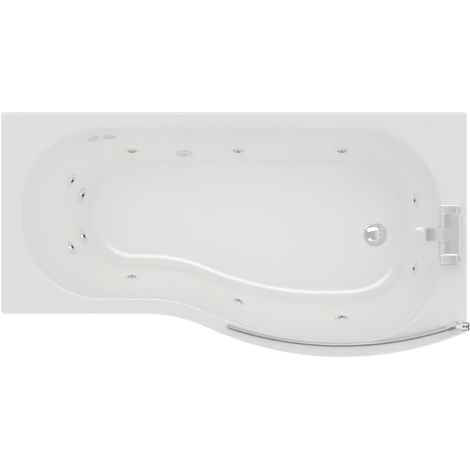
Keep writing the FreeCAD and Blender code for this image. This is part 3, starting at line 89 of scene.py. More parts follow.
# View: straight down, from far enough that the tall screen hardly spreads
photo_pixels = 470
pixel_size = 3.644 * MM
photo_middle = Vector((3.6 * MM, -1.3 * MM, 0))
lens = 1700.0
sensor = 36.0
near_clip = 1.0

# Light
overhead_light = 0.93
side_light = 0.47
window_power = 180.0
window_size = (6.4, 1.7)
window_place = Vector((-0.6, 3.1, 4.0))
window_aim_height = (cad_box[0].z + cad_box[1].z) / 4
floor_reach = 40.0
floor_sides = 96
floor_grey = (0.26, 0.26, 0.26)
floor_dark_grey = (0.24, 0.24, 0.24)
floor_glow = 0.86


# Material helpers

cloud_low = 0.3
cloud_high = 0.7
gloss_swing = 0.2
grain_detail = 2.0
grain_height = 0.2 * MM


def new_finish(name, colour, roughness, metallic=0.0):
    """A material with its shader's constant values set, with its node tree and its shader."""
    material = bpy.data.materials.new(name)
    material.use_nodes = True
    shader = material.node_tree.nodes["Principled BSDF"]
    shader.inputs["Base Color"].default_value = (*colour, 1)
    shader.inputs["Roughness"].default_value = roughness
    shader.inputs["Metallic"].default_value = metallic
    return material, material.node_tree, shader


def object_place(tree, stretch=(1, 1, 1)):
    """Object coordinates through a mapping that stretches the pattern."""
    place = tree.nodes.new("ShaderNodeTexCoord")
    mapping = tree.nodes.new("ShaderNodeMapping")
    mapping.inputs["Scale"].default_value = stretch
    tree.links.new(place.outputs["Object"], mapping.inputs["Vector"])
    return mapping.outputs["Vector"]


def noise(tree, vector, scale, detail=3.0):
    """Cloudy pattern between 0 and 1."""
    texture = tree.nodes.new("ShaderNodeTexNoise")
    texture.inputs["Scale"].default_value = scale
    texture.inputs["Detail"].default_value = detail
    tree.links.new(vector, texture.inputs["Vector"])
    return texture.outputs["Fac"]


def ramp(tree, factor, stops):
    """Colour ramp from (place, colour) stops."""
    node = tree.nodes.new("ShaderNodeValToRGB")
    elements = node.color_ramp.elements
    while len(elements) < len(stops):
        elements.new(1.0)
    for element, (place, colour) in zip(elements, stops):
        element.position = place
        element.color = (*colour, 1)
    tree.links.new(factor, node.inputs["Fac"])
    return node.outputs["Color"]


def spread(tree, factor, low, high):
    """Brings a value between 0 and 1 to between low and high."""
    node = tree.nodes.new("ShaderNodeMapRange")
    node.inputs["To Min"].default_value = low
    node.inputs["To Max"].default_value = high
    tree.links.new(factor, node.inputs["Value"])
    return node.outputs["Result"]


def bumped(tree, shader, height, strength, distance):
    """Gives a shader fine relief from a pattern."""
    node = tree.nodes.new("ShaderNodeBump")
    node.inputs["Strength"].default_value = strength
    node.inputs["Distance"].default_value = distance
    tree.links.new(height, node.inputs["Height"])
    tree.links.new(node.outputs["Normal"], shader.inputs["Normal"])


def shaded(colour, share):
    """A colour made darker by a share."""
    return tuple(part * share for part in colour)


def mottled_finish(name, colour, roughness, scale, depth, metallic=0.0, grain=0.0, grain_scale=400.0):
    """Finish whose colour and gloss wander a little, with an optional fine grain in its surface."""
    material, tree, shader = new_finish(name, colour, roughness, metallic)
    vector = object_place(tree)
    cloud = noise(tree, vector, scale)
    tone = ramp(tree, cloud, [(cloud_low, shaded(colour, 1 - depth)), (cloud_high, colour)])
    tree.links.new(tone, shader.inputs["Base Color"])
    gloss = spread(tree, cloud, roughness * (1 - gloss_swing), roughness * (1 + gloss_swing))
    tree.links.new(gloss, shader.inputs["Roughness"])
    if grain:
        bumped(tree, shader, noise(tree, vector, grain_scale, grain_detail), grain, grain_height)
    return material


# Finishes

deck_shade_start = 9.0 * MM
deck_shade_end = 1.0 * MM


def cast_acrylic(name, colour, deck_painted_shade_share=1.0):
    """Gloss white acrylic: an even colour under a clear skin, with a trace of moulding ripple.

    The deck can be a shade darker than the well, with a soft change at the rim: painted shade against the
    fuller light on the open deck.
    """
    material, tree, shader = new_finish(name, colour, roughness=0.25)
    vector = object_place(tree)
    cloud = noise(tree, vector, scale=3.0, detail=2.0)
    tone = ramp(tree, cloud, [(0.25, shaded(colour, 0.99)), (0.75, colour)])
    # Painted shade: the colour is scaled down towards the deck, which lies open to more light than the well.
    height = tree.nodes.new("ShaderNodeSeparateXYZ")
    tree.links.new(vector, height.inputs["Vector"])
    level = tree.nodes.new("ShaderNodeMapRange")
    level.inputs["From Min"].default_value = rim_z - deck_shade_start
    level.inputs["From Max"].default_value = rim_z - deck_shade_end
    level.inputs["To Min"].default_value = 1.0
    level.inputs["To Max"].default_value = deck_painted_shade_share
    tree.links.new(height.outputs["Z"], level.inputs["Value"])
    scaled = tree.nodes.new("ShaderNodeVectorMath")
    scaled.operation = "SCALE"
    tree.links.new(tone, scaled.inputs["Vector"])
    tree.links.new(level.outputs["Result"], scaled.inputs["Scale"])
    tree.links.new(scaled.outputs["Vector"], shader.inputs["Base Color"])
    gloss = spread(tree, noise(tree, vector, scale=45.0), low=0.21, high=0.29)
    tree.links.new(gloss, shader.inputs["Roughness"])
    shader.inputs["IOR"].default_value = 1.49
    shader.inputs["Coat Weight"].default_value = 0.12
    shader.inputs["Coat Roughness"].default_value = 0.04
    ripple = noise(tree, vector, scale=14.0, detail=1.0)
    bumped(tree, shader, ripple, strength=0.02, distance=0.4 * MM)
    return material


def sprayed_fibreglass():
    """The rough reinforced back of the moulding: resin over chopped strands."""
    resin = (0.74, 0.71, 0.62)
    strand = (0.84, 0.82, 0.75)
    material, tree, shader = new_finish("sprayed_fibreglass", resin, roughness=0.55)
    vector = object_place(tree)
    strands = tree.nodes.new("ShaderNodeTexVoronoi")
    strands.feature = "DISTANCE_TO_EDGE"
    strands.inputs["Scale"].default_value = 60.0
    warp = tree.nodes.new("ShaderNodeVectorMath")
    warp.operation = "ADD"
    wander = tree.nodes.new("ShaderNodeTexNoise")
    wander.inputs["Scale"].default_value = 25.0
    tree.links.new(vector, wander.inputs["Vector"])
    tree.links.new(vector, warp.inputs[0])
    tree.links.new(wander.outputs["Color"], warp.inputs[1])
    tree.links.new(warp.outputs["Vector"], strands.inputs["Vector"])
    tone = ramp(tree, strands.outputs["Distance"], [(0.0, strand), (0.12, resin)])
    tree.links.new(tone, shader.inputs["Base Color"])
    gloss = spread(tree, noise(tree, vector, scale=18.0), low=0.4, high=0.75)
    tree.links.new(gloss, shader.inputs["Roughness"])
    lumps = noise(tree, vector, scale=140.0, detail=4.0)
    bumped(tree, shader, lumps, strength=0.5, distance=1.5 * MM)
    return material


def chrome_plate():
    """Polished plate with faint water marks in its gloss."""
    material, tree, shader = new_finish("chrome_plate", (0.84, 0.838, 0.832), roughness=0.06, metallic=1.0)
    marks = noise(tree, object_place(tree), scale=60.0, detail=4.0)
    tree.links.new(spread(tree, marks, low=0.03, high=0.1), shader.inputs["Roughness"])
    tone = ramp(tree, marks, [(cloud_low, (0.81, 0.808, 0.8)), (cloud_high, (0.87, 0.867, 0.86))])
    tree.links.new(tone, shader.inputs["Base Color"])
    return material


def drawn_aluminium():
    """Bright extrusion, with die lines along its length."""
    material, tree, shader = new_finish("drawn_aluminium", (0.8, 0.81, 0.82), roughness=0.22, metallic=1.0)
    lines = noise(tree, object_place(tree, (900, 900, 2)), scale=1.0, detail=2.0)
    tree.links.new(spread(tree, lines, low=0.14, high=0.3), shader.inputs["Roughness"])
    tone = ramp(tree, lines, [(cloud_low, (0.74, 0.75, 0.76)), (cloud_high, (0.84, 0.85, 0.86))])
    tree.links.new(tone, shader.inputs["Base Color"])
    bumped(tree, shader, lines, strength=0.05, distance=0.05 * MM)
    return material


def toughened_glass():
    """Clear sheet with a faint green body and a trace of dried water on it.

    Its two faces are parallel, so light goes straight through, and a clear skin gives the reflections.
    """
    material, tree, shader = new_finish("toughened_glass", (0.93, 0.975, 0.96), roughness=0.02)
    shader.inputs["Transmission Weight"].default_value = 1.0
    shader.inputs["IOR"].default_value = 1.01
    shader.inputs["Coat Weight"].default_value = 1.0
    shader.inputs["Coat Roughness"].default_value = 0.02
    marks = noise(tree, object_place(tree), scale=7.0, detail=5.0)
    tree.links.new(spread(tree, marks, low=0.0, high=0.03), shader.inputs["Roughness"])
    tone = ramp(tree, marks, [(0.35, (0.92, 0.97, 0.955)), (0.65, (0.955, 0.985, 0.975))])
    tree.links.new(tone, shader.inputs["Base Color"])
    path = tree.nodes.new("ShaderNodeLightPath")
    clear = tree.nodes.new("ShaderNodeBsdfTransparent")
    clear.inputs["Color"].default_value = (0.93, 0.96, 0.95, 1)
    either = tree.nodes.new("ShaderNodeMath")
    either.operation = "MAXIMUM"
    tree.links.new(path.outputs["Is Shadow Ray"], either.inputs[0])
    tree.links.new(path.outputs["Is Diffuse Ray"], either.inputs[1])
    mix = tree.nodes.new("ShaderNodeMixShader")
    tree.links.new(either.outputs["Value"], mix.inputs["Fac"])
    tree.links.new(shader.outputs["BSDF"], mix.inputs[1])
    tree.links.new(clear.outputs["BSDF"], mix.inputs[2])
    tree.links.new(mix.outputs["Shader"], tree.nodes["Material Output"].inputs["Surface"])
    return material


def planed_timber():
    """Softwood with its grain in bands and a few darker ones among them."""
    dark = (0.56, 0.38, 0.2)
    middle = (0.74, 0.56, 0.34)
    pale = (0.8, 0.64, 0.42)
    material, tree, shader = new_finish("planed_timber", (0.72, 0.55, 0.35), roughness=0.6)
    vector = object_place(tree, (3, 3, 60))
    bands = tree.nodes.new("ShaderNodeTexWave")
    bands.bands_direction = "Z"
    bands.inputs["Scale"].default_value = 1.5
    bands.inputs["Distortion"].default_value = 5.0
    bands.inputs["Detail"].default_value = 3.0
    tree.links.new(vector, bands.inputs["Vector"])
    tone = ramp(tree, bands.outputs["Fac"], [(0.0, dark), (0.5, middle), (1.0, pale)])
    tree.links.new(tone, shader.inputs["Base Color"])
    bumped(tree, shader, bands.outputs["Fac"], strength=0.15, distance=0.3 * MM)
    return material


def pressed_board():
    """Chip board: pressed flakes of several browns."""
    dark = (0.4, 0.29, 0.17)
    middle = (0.6, 0.46, 0.3)
    pale = (0.72, 0.58, 0.4)
    material, tree, shader = new_finish("pressed_board", (0.58, 0.45, 0.3), roughness=0.75)
    flakes = tree.nodes.new("ShaderNodeTexVoronoi")
    flakes.inputs["Scale"].default_value = 130.0
    tree.links.new(object_place(tree, (1, 0.45, 1)), flakes.inputs["Vector"])
    tint = tree.nodes.new("ShaderNodeSeparateColor")
    tree.links.new(flakes.outputs["Color"], tint.inputs["Color"])
    tone = ramp(tree, tint.outputs["Red"], [(0.0, dark), (0.5, middle), (1.0, pale)])
    tree.links.new(tone, shader.inputs["Base Color"])
    bumped(tree, shader, flakes.outputs["Distance"], strength=0.3, distance=0.4 * MM)
    return material


finishes = {
    # Its deck carries painted shade, a shade darker than the well.
    "acrylic_white": cast_acrylic("cast_acrylic", (0.965, 0.961, 0.949), deck_painted_shade_share=0.93),
    "panel_white": cast_acrylic("panel_acrylic", (0.76, 0.757, 0.747)),
    "chrome": chrome_plate(),
    "jet_trim": cast_acrylic("jet_trim_white", (0.89, 0.886, 0.875)),
    "satin_trim": mottled_finish("satin_trim", (0.83, 0.827, 0.815), roughness=0.3, scale=40.0, depth=0.04),
    "screen_silver": drawn_aluminium(),
    "screen_caps": mottled_finish("cap_moulding", (0.93, 0.93, 0.92), roughness=0.35, scale=60.0, depth=0.03,
                                  grain=0.1),
    "screen_glass": toughened_glass(),
    "screen_rubber": mottled_finish("wiper_vinyl", (0.7, 0.7, 0.69), roughness=0.35, scale=30.0, depth=0.06),
    "black_rubber": mottled_finish("black_rubber", (0.035, 0.035, 0.036), roughness=0.6, scale=80.0,
                                   depth=0.3, grain=0.3),
    "white_plumbing": mottled_finish("white_pipe", (0.8, 0.8, 0.78), roughness=0.35, scale=12.0, depth=0.05,
                                     grain=0.08, grain_scale=250.0),
    "clear_air_pipe": mottled_finish("milky_pipe", (0.6, 0.66, 0.68), roughness=0.25, scale=25.0,
                                     depth=0.08),
    "brass": mottled_finish("machined_brass", (0.83, 0.62, 0.3), roughness=0.25, scale=90.0, depth=0.15,
                            metallic=1.0),
    "pump_black": mottled_finish("filled_moulding", (0.045, 0.046, 0.05), roughness=0.5, scale=50.0,
                                 depth=0.25, grain=0.35, grain_scale=600.0),
    "motor_grey": mottled_finish("stove_enamel", (0.17, 0.2, 0.23), roughness=0.38, scale=30.0, depth=0.1,
                                 grain=0.25, grain_scale=500.0),
    "zinc_steel": mottled_finish("zinc_plate", (0.66, 0.67, 0.65), roughness=0.34, scale=22.0, depth=0.18,
                                 metallic=1.0, grain=0.06, grain_scale=300.0),
    "base_board": pressed_board(),
    "timber": planed_timber(),
}


# Mesh helpers

head_height_share = 0.55
head_dome_share = 0.75
head_dome_height_share = 0.9
head_side_height_share = 0.45
socket_radius_share = 0.4
socket_floor_share = 0.4
prism_ease_share = 0.08
thread_root_share = 0.1
thread_crest_share = 0.2
thread_half_share = 0.35


def connected(vert):
    """Every vertex that edges join to one vertex, in the order in which they are met."""
    met = {vert: True}
    waiting = [vert]
    while waiting:
        for edge in waiting.pop().link_edges:
            for other in edge.verts:
                if other not in met:
                    met[other] = True
                    waiting.append(other)
    return list(met)


def each_once(parts):
    """The parts without repeats, in the order in which they come."""
    return list(dict.fromkeys(parts))


def turned(bm, profile, base, axis, steps=ROUND_STEPS):
    """Adds a ring or cap turned about an axis from (radius, distance along) points."""
    verts = [bm.verts.new((radius, 0, along)) for radius, along in profile]
    edges = [bm.edges.new(pair) for pair in zip(verts, verts[1:])]
    bmesh.ops.spin(bm, geom=verts + edges, cent=(0, 0, 0), axis=UP, angle=FULL_TURN, steps=steps,
                   use_merge=True)
    grown = connected(verts[0])
    bmesh.ops.remove_doubles(bm, verts=grown, dist=MERGE)
    grown = connected(next(vert for vert in grown if vert.is_valid))
    faces = each_once(face for vert in grown for face in vert.link_faces)
    bmesh.ops.recalc_face_normals(bm, faces=faces)
    turn = UP.rotation_difference(axis).to_matrix().to_4x4()
    bmesh.ops.transform(bm, matrix=Matrix.Translation(base) @ turn, verts=grown)


def add_block(bm, low, high):
    """Adds a block between two corners."""
    size = Matrix.Diagonal((*(high - low), 1))
    bmesh.ops.create_cube(bm, size=1.0, matrix=Matrix.Translation((low + high) / 2) @ size)


def add_pan_head(bm, base, axis, radius):
    """Adds a low round screw head with a socket in it."""
    height = radius * head_height_share
    socket = radius * socket_radius_share
    socket_floor = height * socket_floor_share
    dome = (radius * head_dome_share, height * head_dome_height_share)
    side = (radius, height * head_side_height_share)
    profile = [(0, socket_floor), (socket, socket_floor), (socket, height), dome, side, (radius, 0)]
    turned(bm, profile, base, axis, SMALL_ROUND_STEPS)


def add_prism(bm, base, axis, radius, height, sides):
    """Adds a nut-like prism with eased edges."""
    turn = UP.rotation_difference(axis).to_matrix().to_4x4()
    place = Matrix.Translation(base + axis * (height / 2)) @ turn
    made = bmesh.ops.create_cone(bm, cap_ends=True, segments=sides, radius1=radius, radius2=radius,
                                 depth=height, matrix=place)
    edges = each_once(edge for vert in made["verts"] for edge in vert.link_edges)
    bmesh.ops.bevel(bm, geom=edges, offset=height * prism_ease_share, offset_type="OFFSET", segments=2,
                    profile=0.5, affect="EDGES", material=-1)


def add_thread(bm, foot, radius, pitch, length):
    """Adds a helical ridge round an upright rod: one turn, copied up its length."""
    root = radius - thread_root_share * pitch
    crest = radius + thread_crest_share * pitch
    half = thread_half_share * pitch
    ridge = ((root, -half), (crest, 0), (root, half))
    one_turn = bmesh.new()
    verts = [one_turn.verts.new(foot + Vector((out, 0, along + pitch / 2))) for out, along in ridge]
    edges = [one_turn.edges.new(pair) for pair in zip(verts, verts[1:] + verts[:1])]
    bmesh.ops.spin(one_turn, geom=verts + edges, cent=foot, axis=UP, angle=FULL_TURN,
                   dvec=UP * (pitch / THREAD_STEPS), steps=THREAD_STEPS)
    mesh = bpy.data.meshes.new("thread_turn")
    one_turn.to_mesh(mesh)
    one_turn.free()
    for _ in range(int(length / pitch)):
        bm.from_mesh(mesh)
        mesh.transform(Matrix.Translation(UP * pitch))
    bpy.data.meshes.remove(mesh)


def close_threads(bm):
    """Joins the turns of threads, closes their ends and turns their faces outwards."""
    bmesh.ops.remove_doubles(bm, verts=bm.verts, dist=MERGE)
    ends = [edge for edge in bm.edges if edge.is_boundary]
    bmesh.ops.holes_fill(bm, edges=ends, sides=THREAD_CORNERS)
    bmesh.ops.recalc_face_normals(bm, faces=bm.faces)


def flat_face(node, way):
    """Middle of the largest flat face of a node that looks one way."""
    totals = {}
    for face in nodes[node].data.polygons:
        if face.normal.dot(way) > SAME_WAY:
            level = round(face.center.dot(way), PLACE_DIGITS)
            area, moment = totals.get(level, (0.0, Vector()))
            totals[level] = (area + face.area, moment + face.center * face.area)
    area, moment = max(totals.values(), key=lambda entry: entry[0])
    return moment / area


def wet_face(node):
    """Middle and normal of a wall fitting's largest flat face that looks into the well."""
    totals = {}
    for face in nodes[node].data.polygons:
        if face.normal.z > 0:
            key = tuple(round(part, WAY_DIGITS) for part in face.normal)
            area, moment, way = totals.get(key, (0.0, Vector(), Vector()))
            moment = moment + face.center * face.area
            way = way + face.normal * face.area
            totals[key] = (area + face.area, moment, way)
    area, moment, way = max(totals.values(), key=lambda entry: entry[0])
    return moment / area, way.normalized()


def joined_copy(node):
    """A node's mesh as a bmesh whose triangles share their corners."""
    bm = bmesh.new()
    bm.from_mesh(nodes[node].data)
    bmesh.ops.remove_doubles(bm, verts=bm.verts, dist=MERGE)
    return bm


def solids(node):
    """Corners of each separate solid of a node."""
    bm = joined_copy(node)
    seen = set()
    corners = []
    for vert in bm.verts:
        if vert not in seen:
            group = connected(vert)
            seen.update(group)
            low = Vector([min(member.co[axis] for member in group) for axis in range(3)])
            high = Vector([max(member.co[axis] for member in group) for axis in range(3)])
            corners.append((low, high))
    bm.free()
    return corners


def finished(bm, name, body, slot):
    """Mesh from a bmesh: smooth but for its creases, in its slot's finish, riding on its body."""
    mesh = bpy.data.meshes.new(name)
    bm.to_mesh(mesh)
    bm.free()
    mesh.shade_smooth()
    mesh.set_sharp_from_angle(angle=CREASE)
    mesh.materials.append(finishes[slot])
    piece = bpy.data.objects.new(name, mesh)
    bpy.context.scene.collection.objects.link(piece)
    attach(piece, body)
    return piece


def even_normals(piece):
    """Lets large faces lead the shading of a piece, so that flat ones look flat."""
    modifier = piece.modifiers.new("even_normals", "WEIGHTED_NORMAL")
    modifier.keep_sharp = True
    modifier.weight = FACE_AREA_WEIGHT


def eased(piece, width):
    """Small rounds along the hard edges of a piece."""
    modifier = piece.modifiers.new("eased_edges", "BEVEL")
    modifier.width = width
    modifier.segments = 2
    modifier.limit_method = "ANGLE"
    modifier.angle_limit = CREASE
    modifier.use_clamp_overlap = True
    modifier.harden_normals = False


def dressed(node, ease):
    """Stands for a node with a joined, smooth copy in its own finish, without edges across flat faces."""
    bm = joined_copy(node)
    bmesh.ops.dissolve_limit(bm, angle_limit=FLAT_ANGLE, verts=bm.verts, edges=bm.edges)
    piece = finished(bm, node + "_dressed", body_of[node], slot_of[node])
    if ease:
        eased(piece, ease)
    even_normals(piece)
    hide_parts(node)
    return piece


# Every node gets a smooth copy in its own finish; slots that aren't listed keep their edges as they are
ease_of_slot = {
    "screen_silver": 0.4 * MM,
    "screen_caps": 0.4 * MM,
    "zinc_steel": 0.4 * MM,
    "timber": 1.2 * MM,
    "base_board": 0.8 * MM,
    "white_plumbing": 0.6 * MM,
    "pump_black": 0.8 * MM,
    "motor_grey": 0.5 * MM,
    "black_rubber": 0.4 * MM,
    "brass": 0.4 * MM,
    "panel_white": 0.8 * MM,
    "screen_glass": 0.5 * MM,
    "satin_trim": 0.3 * MM,
    "chrome": 0.4 * MM,
}
pieces = {}
for node in sorted(nodes):
    pieces[node] = dressed(node, ease_of_slot.get(slot_of[node], 0.0))

upright_limit = 0.05


def back_of_moulding(shell):
    """Gives the hidden faces of the moulding their rough back."""
    shell.data.materials.append(sprayed_fibreglass())
    low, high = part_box("bath_shell")
    middle = (low + high) / 2
    for face in shell.data.polygons:
        out = face.center - middle
        level = out.x * face.normal.x / (high.x - low.x) + out.y * face.normal.y / (high.y - low.y)
        upright = abs(face.normal.z) < upright_limit
        if face.normal.z < -upright_limit or (upright and level < 0):
            face.material_index = 1


back_of_moulding(pieces["bath_shell"])


# Fittings in the well

jet_mouth = 7.1 * MM
jet_throat = 4.2 * MM
jet_face_depth = 0.2 * MM
jet_bore_shade_depth = 20.0 * MM
jet_nose = 3.0 * MM
jet_shadow_ring_inner = 12.9 * MM
jet_shadow_ring_outer = 15.0 * MM
jet_shadow_ring_proud = 0.15 * MM
strainer_radius = 18.0 * MM
strainer_depth = 1.0 * MM
strainer_thickness = 1.5 * MM
cover_screw_radius = 4.0 * MM
grip_size = Vector((20.0, 4.0, 3.0)) * MM
grip_edge = 0.8 * MM


def jet_bore_shade(node):
    """Dark insert in a nozzle's mouth, with the tube behind it: painted shade for the dark of the deep bore.
    """
    middle, way = wet_face(node)
    bm = bmesh.new()
    bore_shade_profile = [(jet_mouth, -2 * jet_face_depth), (jet_mouth - jet_face_depth, -jet_face_depth),
              (jet_throat, -jet_face_depth), (jet_throat, -jet_bore_shade_depth), (0, -jet_bore_shade_depth)]
    turned(bm, bore_shade_profile, middle, way)
    finished(bm, node + "_painted_bore_shade", body_of[node], "black_rubber")


def jet_shadow_ring(node):
    """Dark ring on the trim ring of a side jet, in the gap round its nozzle: painted shadow for the shade in
    that gap. End jets get none.
    """
    middle, way = wet_face(node)
    if abs(way.y) > abs(way.x):
        bm = bmesh.new()
        shadow_ring_profile = [(jet_shadow_ring_inner, -jet_shadow_ring_proud), (jet_shadow_ring_inner, jet_shadow_ring_proud),
               (jet_shadow_ring_outer, jet_shadow_ring_proud), (jet_shadow_ring_outer + jet_shadow_ring_proud, 0)]
        turned(bm, shadow_ring_profile, middle - way * jet_nose, way)
        finished(bm, node + "_seal", body_of["jet_flanges"], "black_rubber")


def suction_strainer():
    """Plate close behind the suction cover's slots."""
    middle, way = wet_face("suction_cover")
    front = -strainer_depth
    back = -strainer_depth - strainer_thickness
    bm = bmesh.new()
    plate = [(0, front), (strainer_radius, front), (strainer_radius, back), (0, back)]
    turned(bm, plate, middle, way)
    finished(bm, "suction_strainer", body_of["suction_cover"], slot_of["suction_cover"])


def cover_screw(node):
    """Pan-headed screw in the middle of a cover."""
    middle, way = wet_face(node)
    bm = bmesh.new()
    add_pan_head(bm, middle, way, cover_screw_radius)
    finished(bm, node + "_screw", body_of[node], slot_of[node])


def dial_grip():
    """Finger ridge across the air dial."""
    middle, way = wet_face("air_dial")
    along = UP.cross(way).normalized()
    turn = Matrix((along, way.cross(along), way)).transposed().to_4x4()
    place = Matrix.Translation(middle) @ turn @ Matrix.Diagonal((*grip_size, 1))
    bm = bmesh.new()
    bmesh.ops.create_cube(bm, size=1.0, matrix=place)
    bmesh.ops.bevel(bm, geom=bm.edges[:], offset=grip_edge, offset_type="OFFSET", segments=3, profile=0.5,
                    affect="EDGES", material=-1)
    finished(bm, "dial_grip", body_of["air_dial"], slot_of["air_dial"])


for node in jet_names:
    jet_bore_shade(node)
    jet_shadow_ring(node)
dial_grip()
suction_strainer()
cover_screw("suction_cover")
cover_screw("overflow_rose")


# Screen

cut_edge_rise = 0.9
port_radius = 4.0 * MM
port_shank = 3.2 * MM
port_spacing = 10.6 * MM
port_proud = 0.5 * MM
port_dish = 1.0 * MM
port_depth = 3.0 * MM
shade_strip_width = 4.6 * MM
shade_strip_side = 2.6 * MM
shade_strip_height = 0.4 * MM
shade_strip_lap = 3.0 * MM


def paint_top_shade(piece, finish):
    """Gives the upper cut edge of a piece, and the edges that run on smoothly from it, a darker finish:
    painted shade.
    """
    piece.data.materials.append(finish)
    bm = bmesh.new()
    bm.from_mesh(piece.data)
    waiting = [face for face in bm.faces if face.normal.z > cut_edge_rise]
    reached = set(waiting)
    while waiting:
        face = waiting.pop()
        face.material_index = 1
        smooth_edges = [edge for edge in face.edges if edge.calc_face_angle(math.pi) < CREASE]
        for edge in smooth_edges:
            newly_met = [other for other in edge.link_faces if other not in reached]
            reached.update(newly_met)
            waiting.extend(newly_met)
    bm.to_mesh(piece.data)
    bm.free()


def cap_plugs_and_shade_strips():
    """Black plugs in the two ports of the upper end cap, and black strips round its wall end: painted shade
    for the dark end of the channel.
    """
    low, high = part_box("wall_channel")
    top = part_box("screen_end_caps")[1].z
    middle = (low + high) / 2
    grommet = [(0, -port_dish), (port_shank / 2, -port_dish), (port_shank, port_proud),
               (port_radius, port_proud / 2), (port_radius, 0), (port_shank, 0), (port_shank, -port_depth)]
    bm = bmesh.new()
    for side in (-1, 1):
        place = Vector((middle.x + side * port_spacing / 2, middle.y, top))
        turned(bm, grommet, place, UP, SMALL_ROUND_STEPS)
    # Painted shade: black strips along the cap's wall end and sides.
    proud = top + shade_strip_height
    end_low = Vector((high.x - shade_strip_width, low.y + shade_strip_side, top))
    end_high = Vector((high.x, high.y - shade_strip_side, proud))
    add_block(bm, end_low, end_high)
    for y in (low.y, high.y - shade_strip_side):
        side_low = Vector((low.x + shade_strip_lap, y, top))
        side_high = Vector((high.x - shade_strip_lap, y + shade_strip_side, proud))
        add_block(bm, side_low, side_high)
    finished(bm, "cap_plugs_and_shade_strips", body_of["screen_end_caps"], "black_rubber")


# Painted shade: dark grey on the glass's top edge, for the dark line that the edge shows from above.
glass_edge_painted_shade = mottled_finish("glass_edge_painted_shade", (0.26, 0.265, 0.255), roughness=0.5, scale=90.0, depth=0.15)
# Painted shade: a darker grey on the pivot's top, which dulls the highlights on it.
pivot_top_painted_shade = mottled_finish("pivot_top_painted_shade", (0.52, 0.52, 0.515), roughness=0.45, scale=90.0, depth=0.15)
paint_top_shade(pieces["screen_glass"], glass_edge_painted_shade)
paint_top_shade(pieces["screen_pivot"], pivot_top_painted_shade)
cap_plugs_and_shade_strips()


# Filler: its spout and levers are gently arched, and its front is steep

spout_nose = 35.6 * MM
spout_arch = 68.0 * MM
spout_crown = 1.5 * MM
lever_rise = 3.8 * MM
lever_dip = 2.0 * MM
lever_collar = 2.0 * MM
arch_steps = 14
filler_front_reach = 54.8 * MM
filler_front_height = 12.0 * MM
filler_crest_reach = 36.0 * MM
filler_seam_reach = 9.0 * MM
filler_height = 40.05 * MM
filler_edge = 3.0 * MM
filler_end_inset = 0.1 * MM


def arched(node, start_x, end_x, above, shift):
    """Cuts a piece of the filler across from start to end, and lifts what lies above a level by a curve."""
    piece = pieces[node]
    bm = bmesh.new()
    bm.from_mesh(piece.data)
    for step in range(arch_steps):
        cut = Vector((start_x + (end_x - start_x) * step / arch_steps, 0, 0))
        geometry = bm.verts[:] + bm.edges[:] + bm.faces[:]
        bmesh.ops.bisect_plane(bm, geom=geometry, dist=MERGE, plane_co=cut, plane_no=Vector((1, 0, 0)))
    for vert in bm.verts:
        share = (vert.co.x - start_x) / (end_x - start_x)
        if share > 0 and vert.co.z > above:
            vert.co.z += shift(share)
    bm.to_mesh(piece.data)
    bm.free()
    piece.data.set_sharp_from_angle(angle=CREASE)


def spout_curve(share):
    """Rise of the spout's top, which levels out at its nose."""
    return spout_crown * (1 - (1 - min(share, 1.0)) ** 2)


def lever_curve(share):
    """Rise of a lever's top: a dip beside the hub, then up to the tip."""
    return lever_rise * share ** 2 - lever_dip * share


def lever_hub_x(low, high):
    """Middle of a lever's round end, from the lever's corners."""
    return high.x - (high.y - low.y) / 2


def arch_filler():
    """Arches the spout and both levers."""
    body_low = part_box("tap_body")[0]
    arched("tap_body", body_low.x + spout_arch, body_low.x + spout_nose, body_low.z, spout_curve)
    for lever in ("hot_lever", "cold_lever"):
        low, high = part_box(lever)
        arched(lever, lever_hub_x(low, high), low.x, low.z + lever_collar, lever_curve)


def filler_front():
    """The steep front of the filler, with the level top that the levers stand over."""
    base_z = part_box("tap_body")[0].z
    lever_low, lever_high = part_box("hot_lever")
    hub_x = lever_hub_x(lever_low, lever_high)
    end_y = lever_high.y - filler_end_inset
    foot = Vector((hub_x - filler_front_reach, -end_y, base_z + filler_front_height))
    crest = Vector((hub_x - filler_crest_reach, -end_y, base_z + filler_height))
    seam = Vector((hub_x - filler_seam_reach, -end_y, base_z + filler_height))
    buried = (foot + seam * 2) / 3 - UP * filler_edge
    bm = bmesh.new()
    end = bm.faces.new([bm.verts.new(corner) for corner in (foot, crest, seam, buried)])
    grown = bmesh.ops.extrude_face_region(bm, geom=[end], use_keep_orig=True)["geom"]
    far_corners = [part for part in grown if isinstance(part, bmesh.types.BMVert)]
    bmesh.ops.translate(bm, vec=Vector((0, 2 * end_y, 0)), verts=far_corners)
    bmesh.ops.recalc_face_normals(bm, faces=bm.faces)
    shown = [edge for edge in bm.edges
             if min(vert.co.x for vert in edge.verts) < crest.x + MERGE
             and all(abs(vert.co.x - buried.x) > MERGE for vert in edge.verts)]
    bmesh.ops.bevel(bm, geom=shown, offset=filler_edge, offset_type="OFFSET", segments=4, profile=0.5,
                    affect="EDGES", material=-1)
    finished(bm, "filler_front", body_of["tap_body"], slot_of["tap_body"])


arch_filler()
filler_front()


# Threads, bolts and unions behind the moulding

stud_pitch = 1.75 * MM
tail_pitch = 1.8 * MM
tail_end = 40.0 * MM
volute_bolt_count = 8
volute_bolt_circle = 45.0 * MM
volute_bolt_radius = 5.0 * MM
volute_bolt_height = 4.5 * MM
volute_bolt_sides = 6
union_radius = 32.0 * MM
union_length = 18.0 * MM
union_sides = 8
lid_size = Vector((2.0, 64.0, 50.0)) * MM
lid_ease = 0.6 * MM
lid_screw_radius = 3.2 * MM
lid_screw_along_share = 0.42
lid_screw_up_share = 0.4


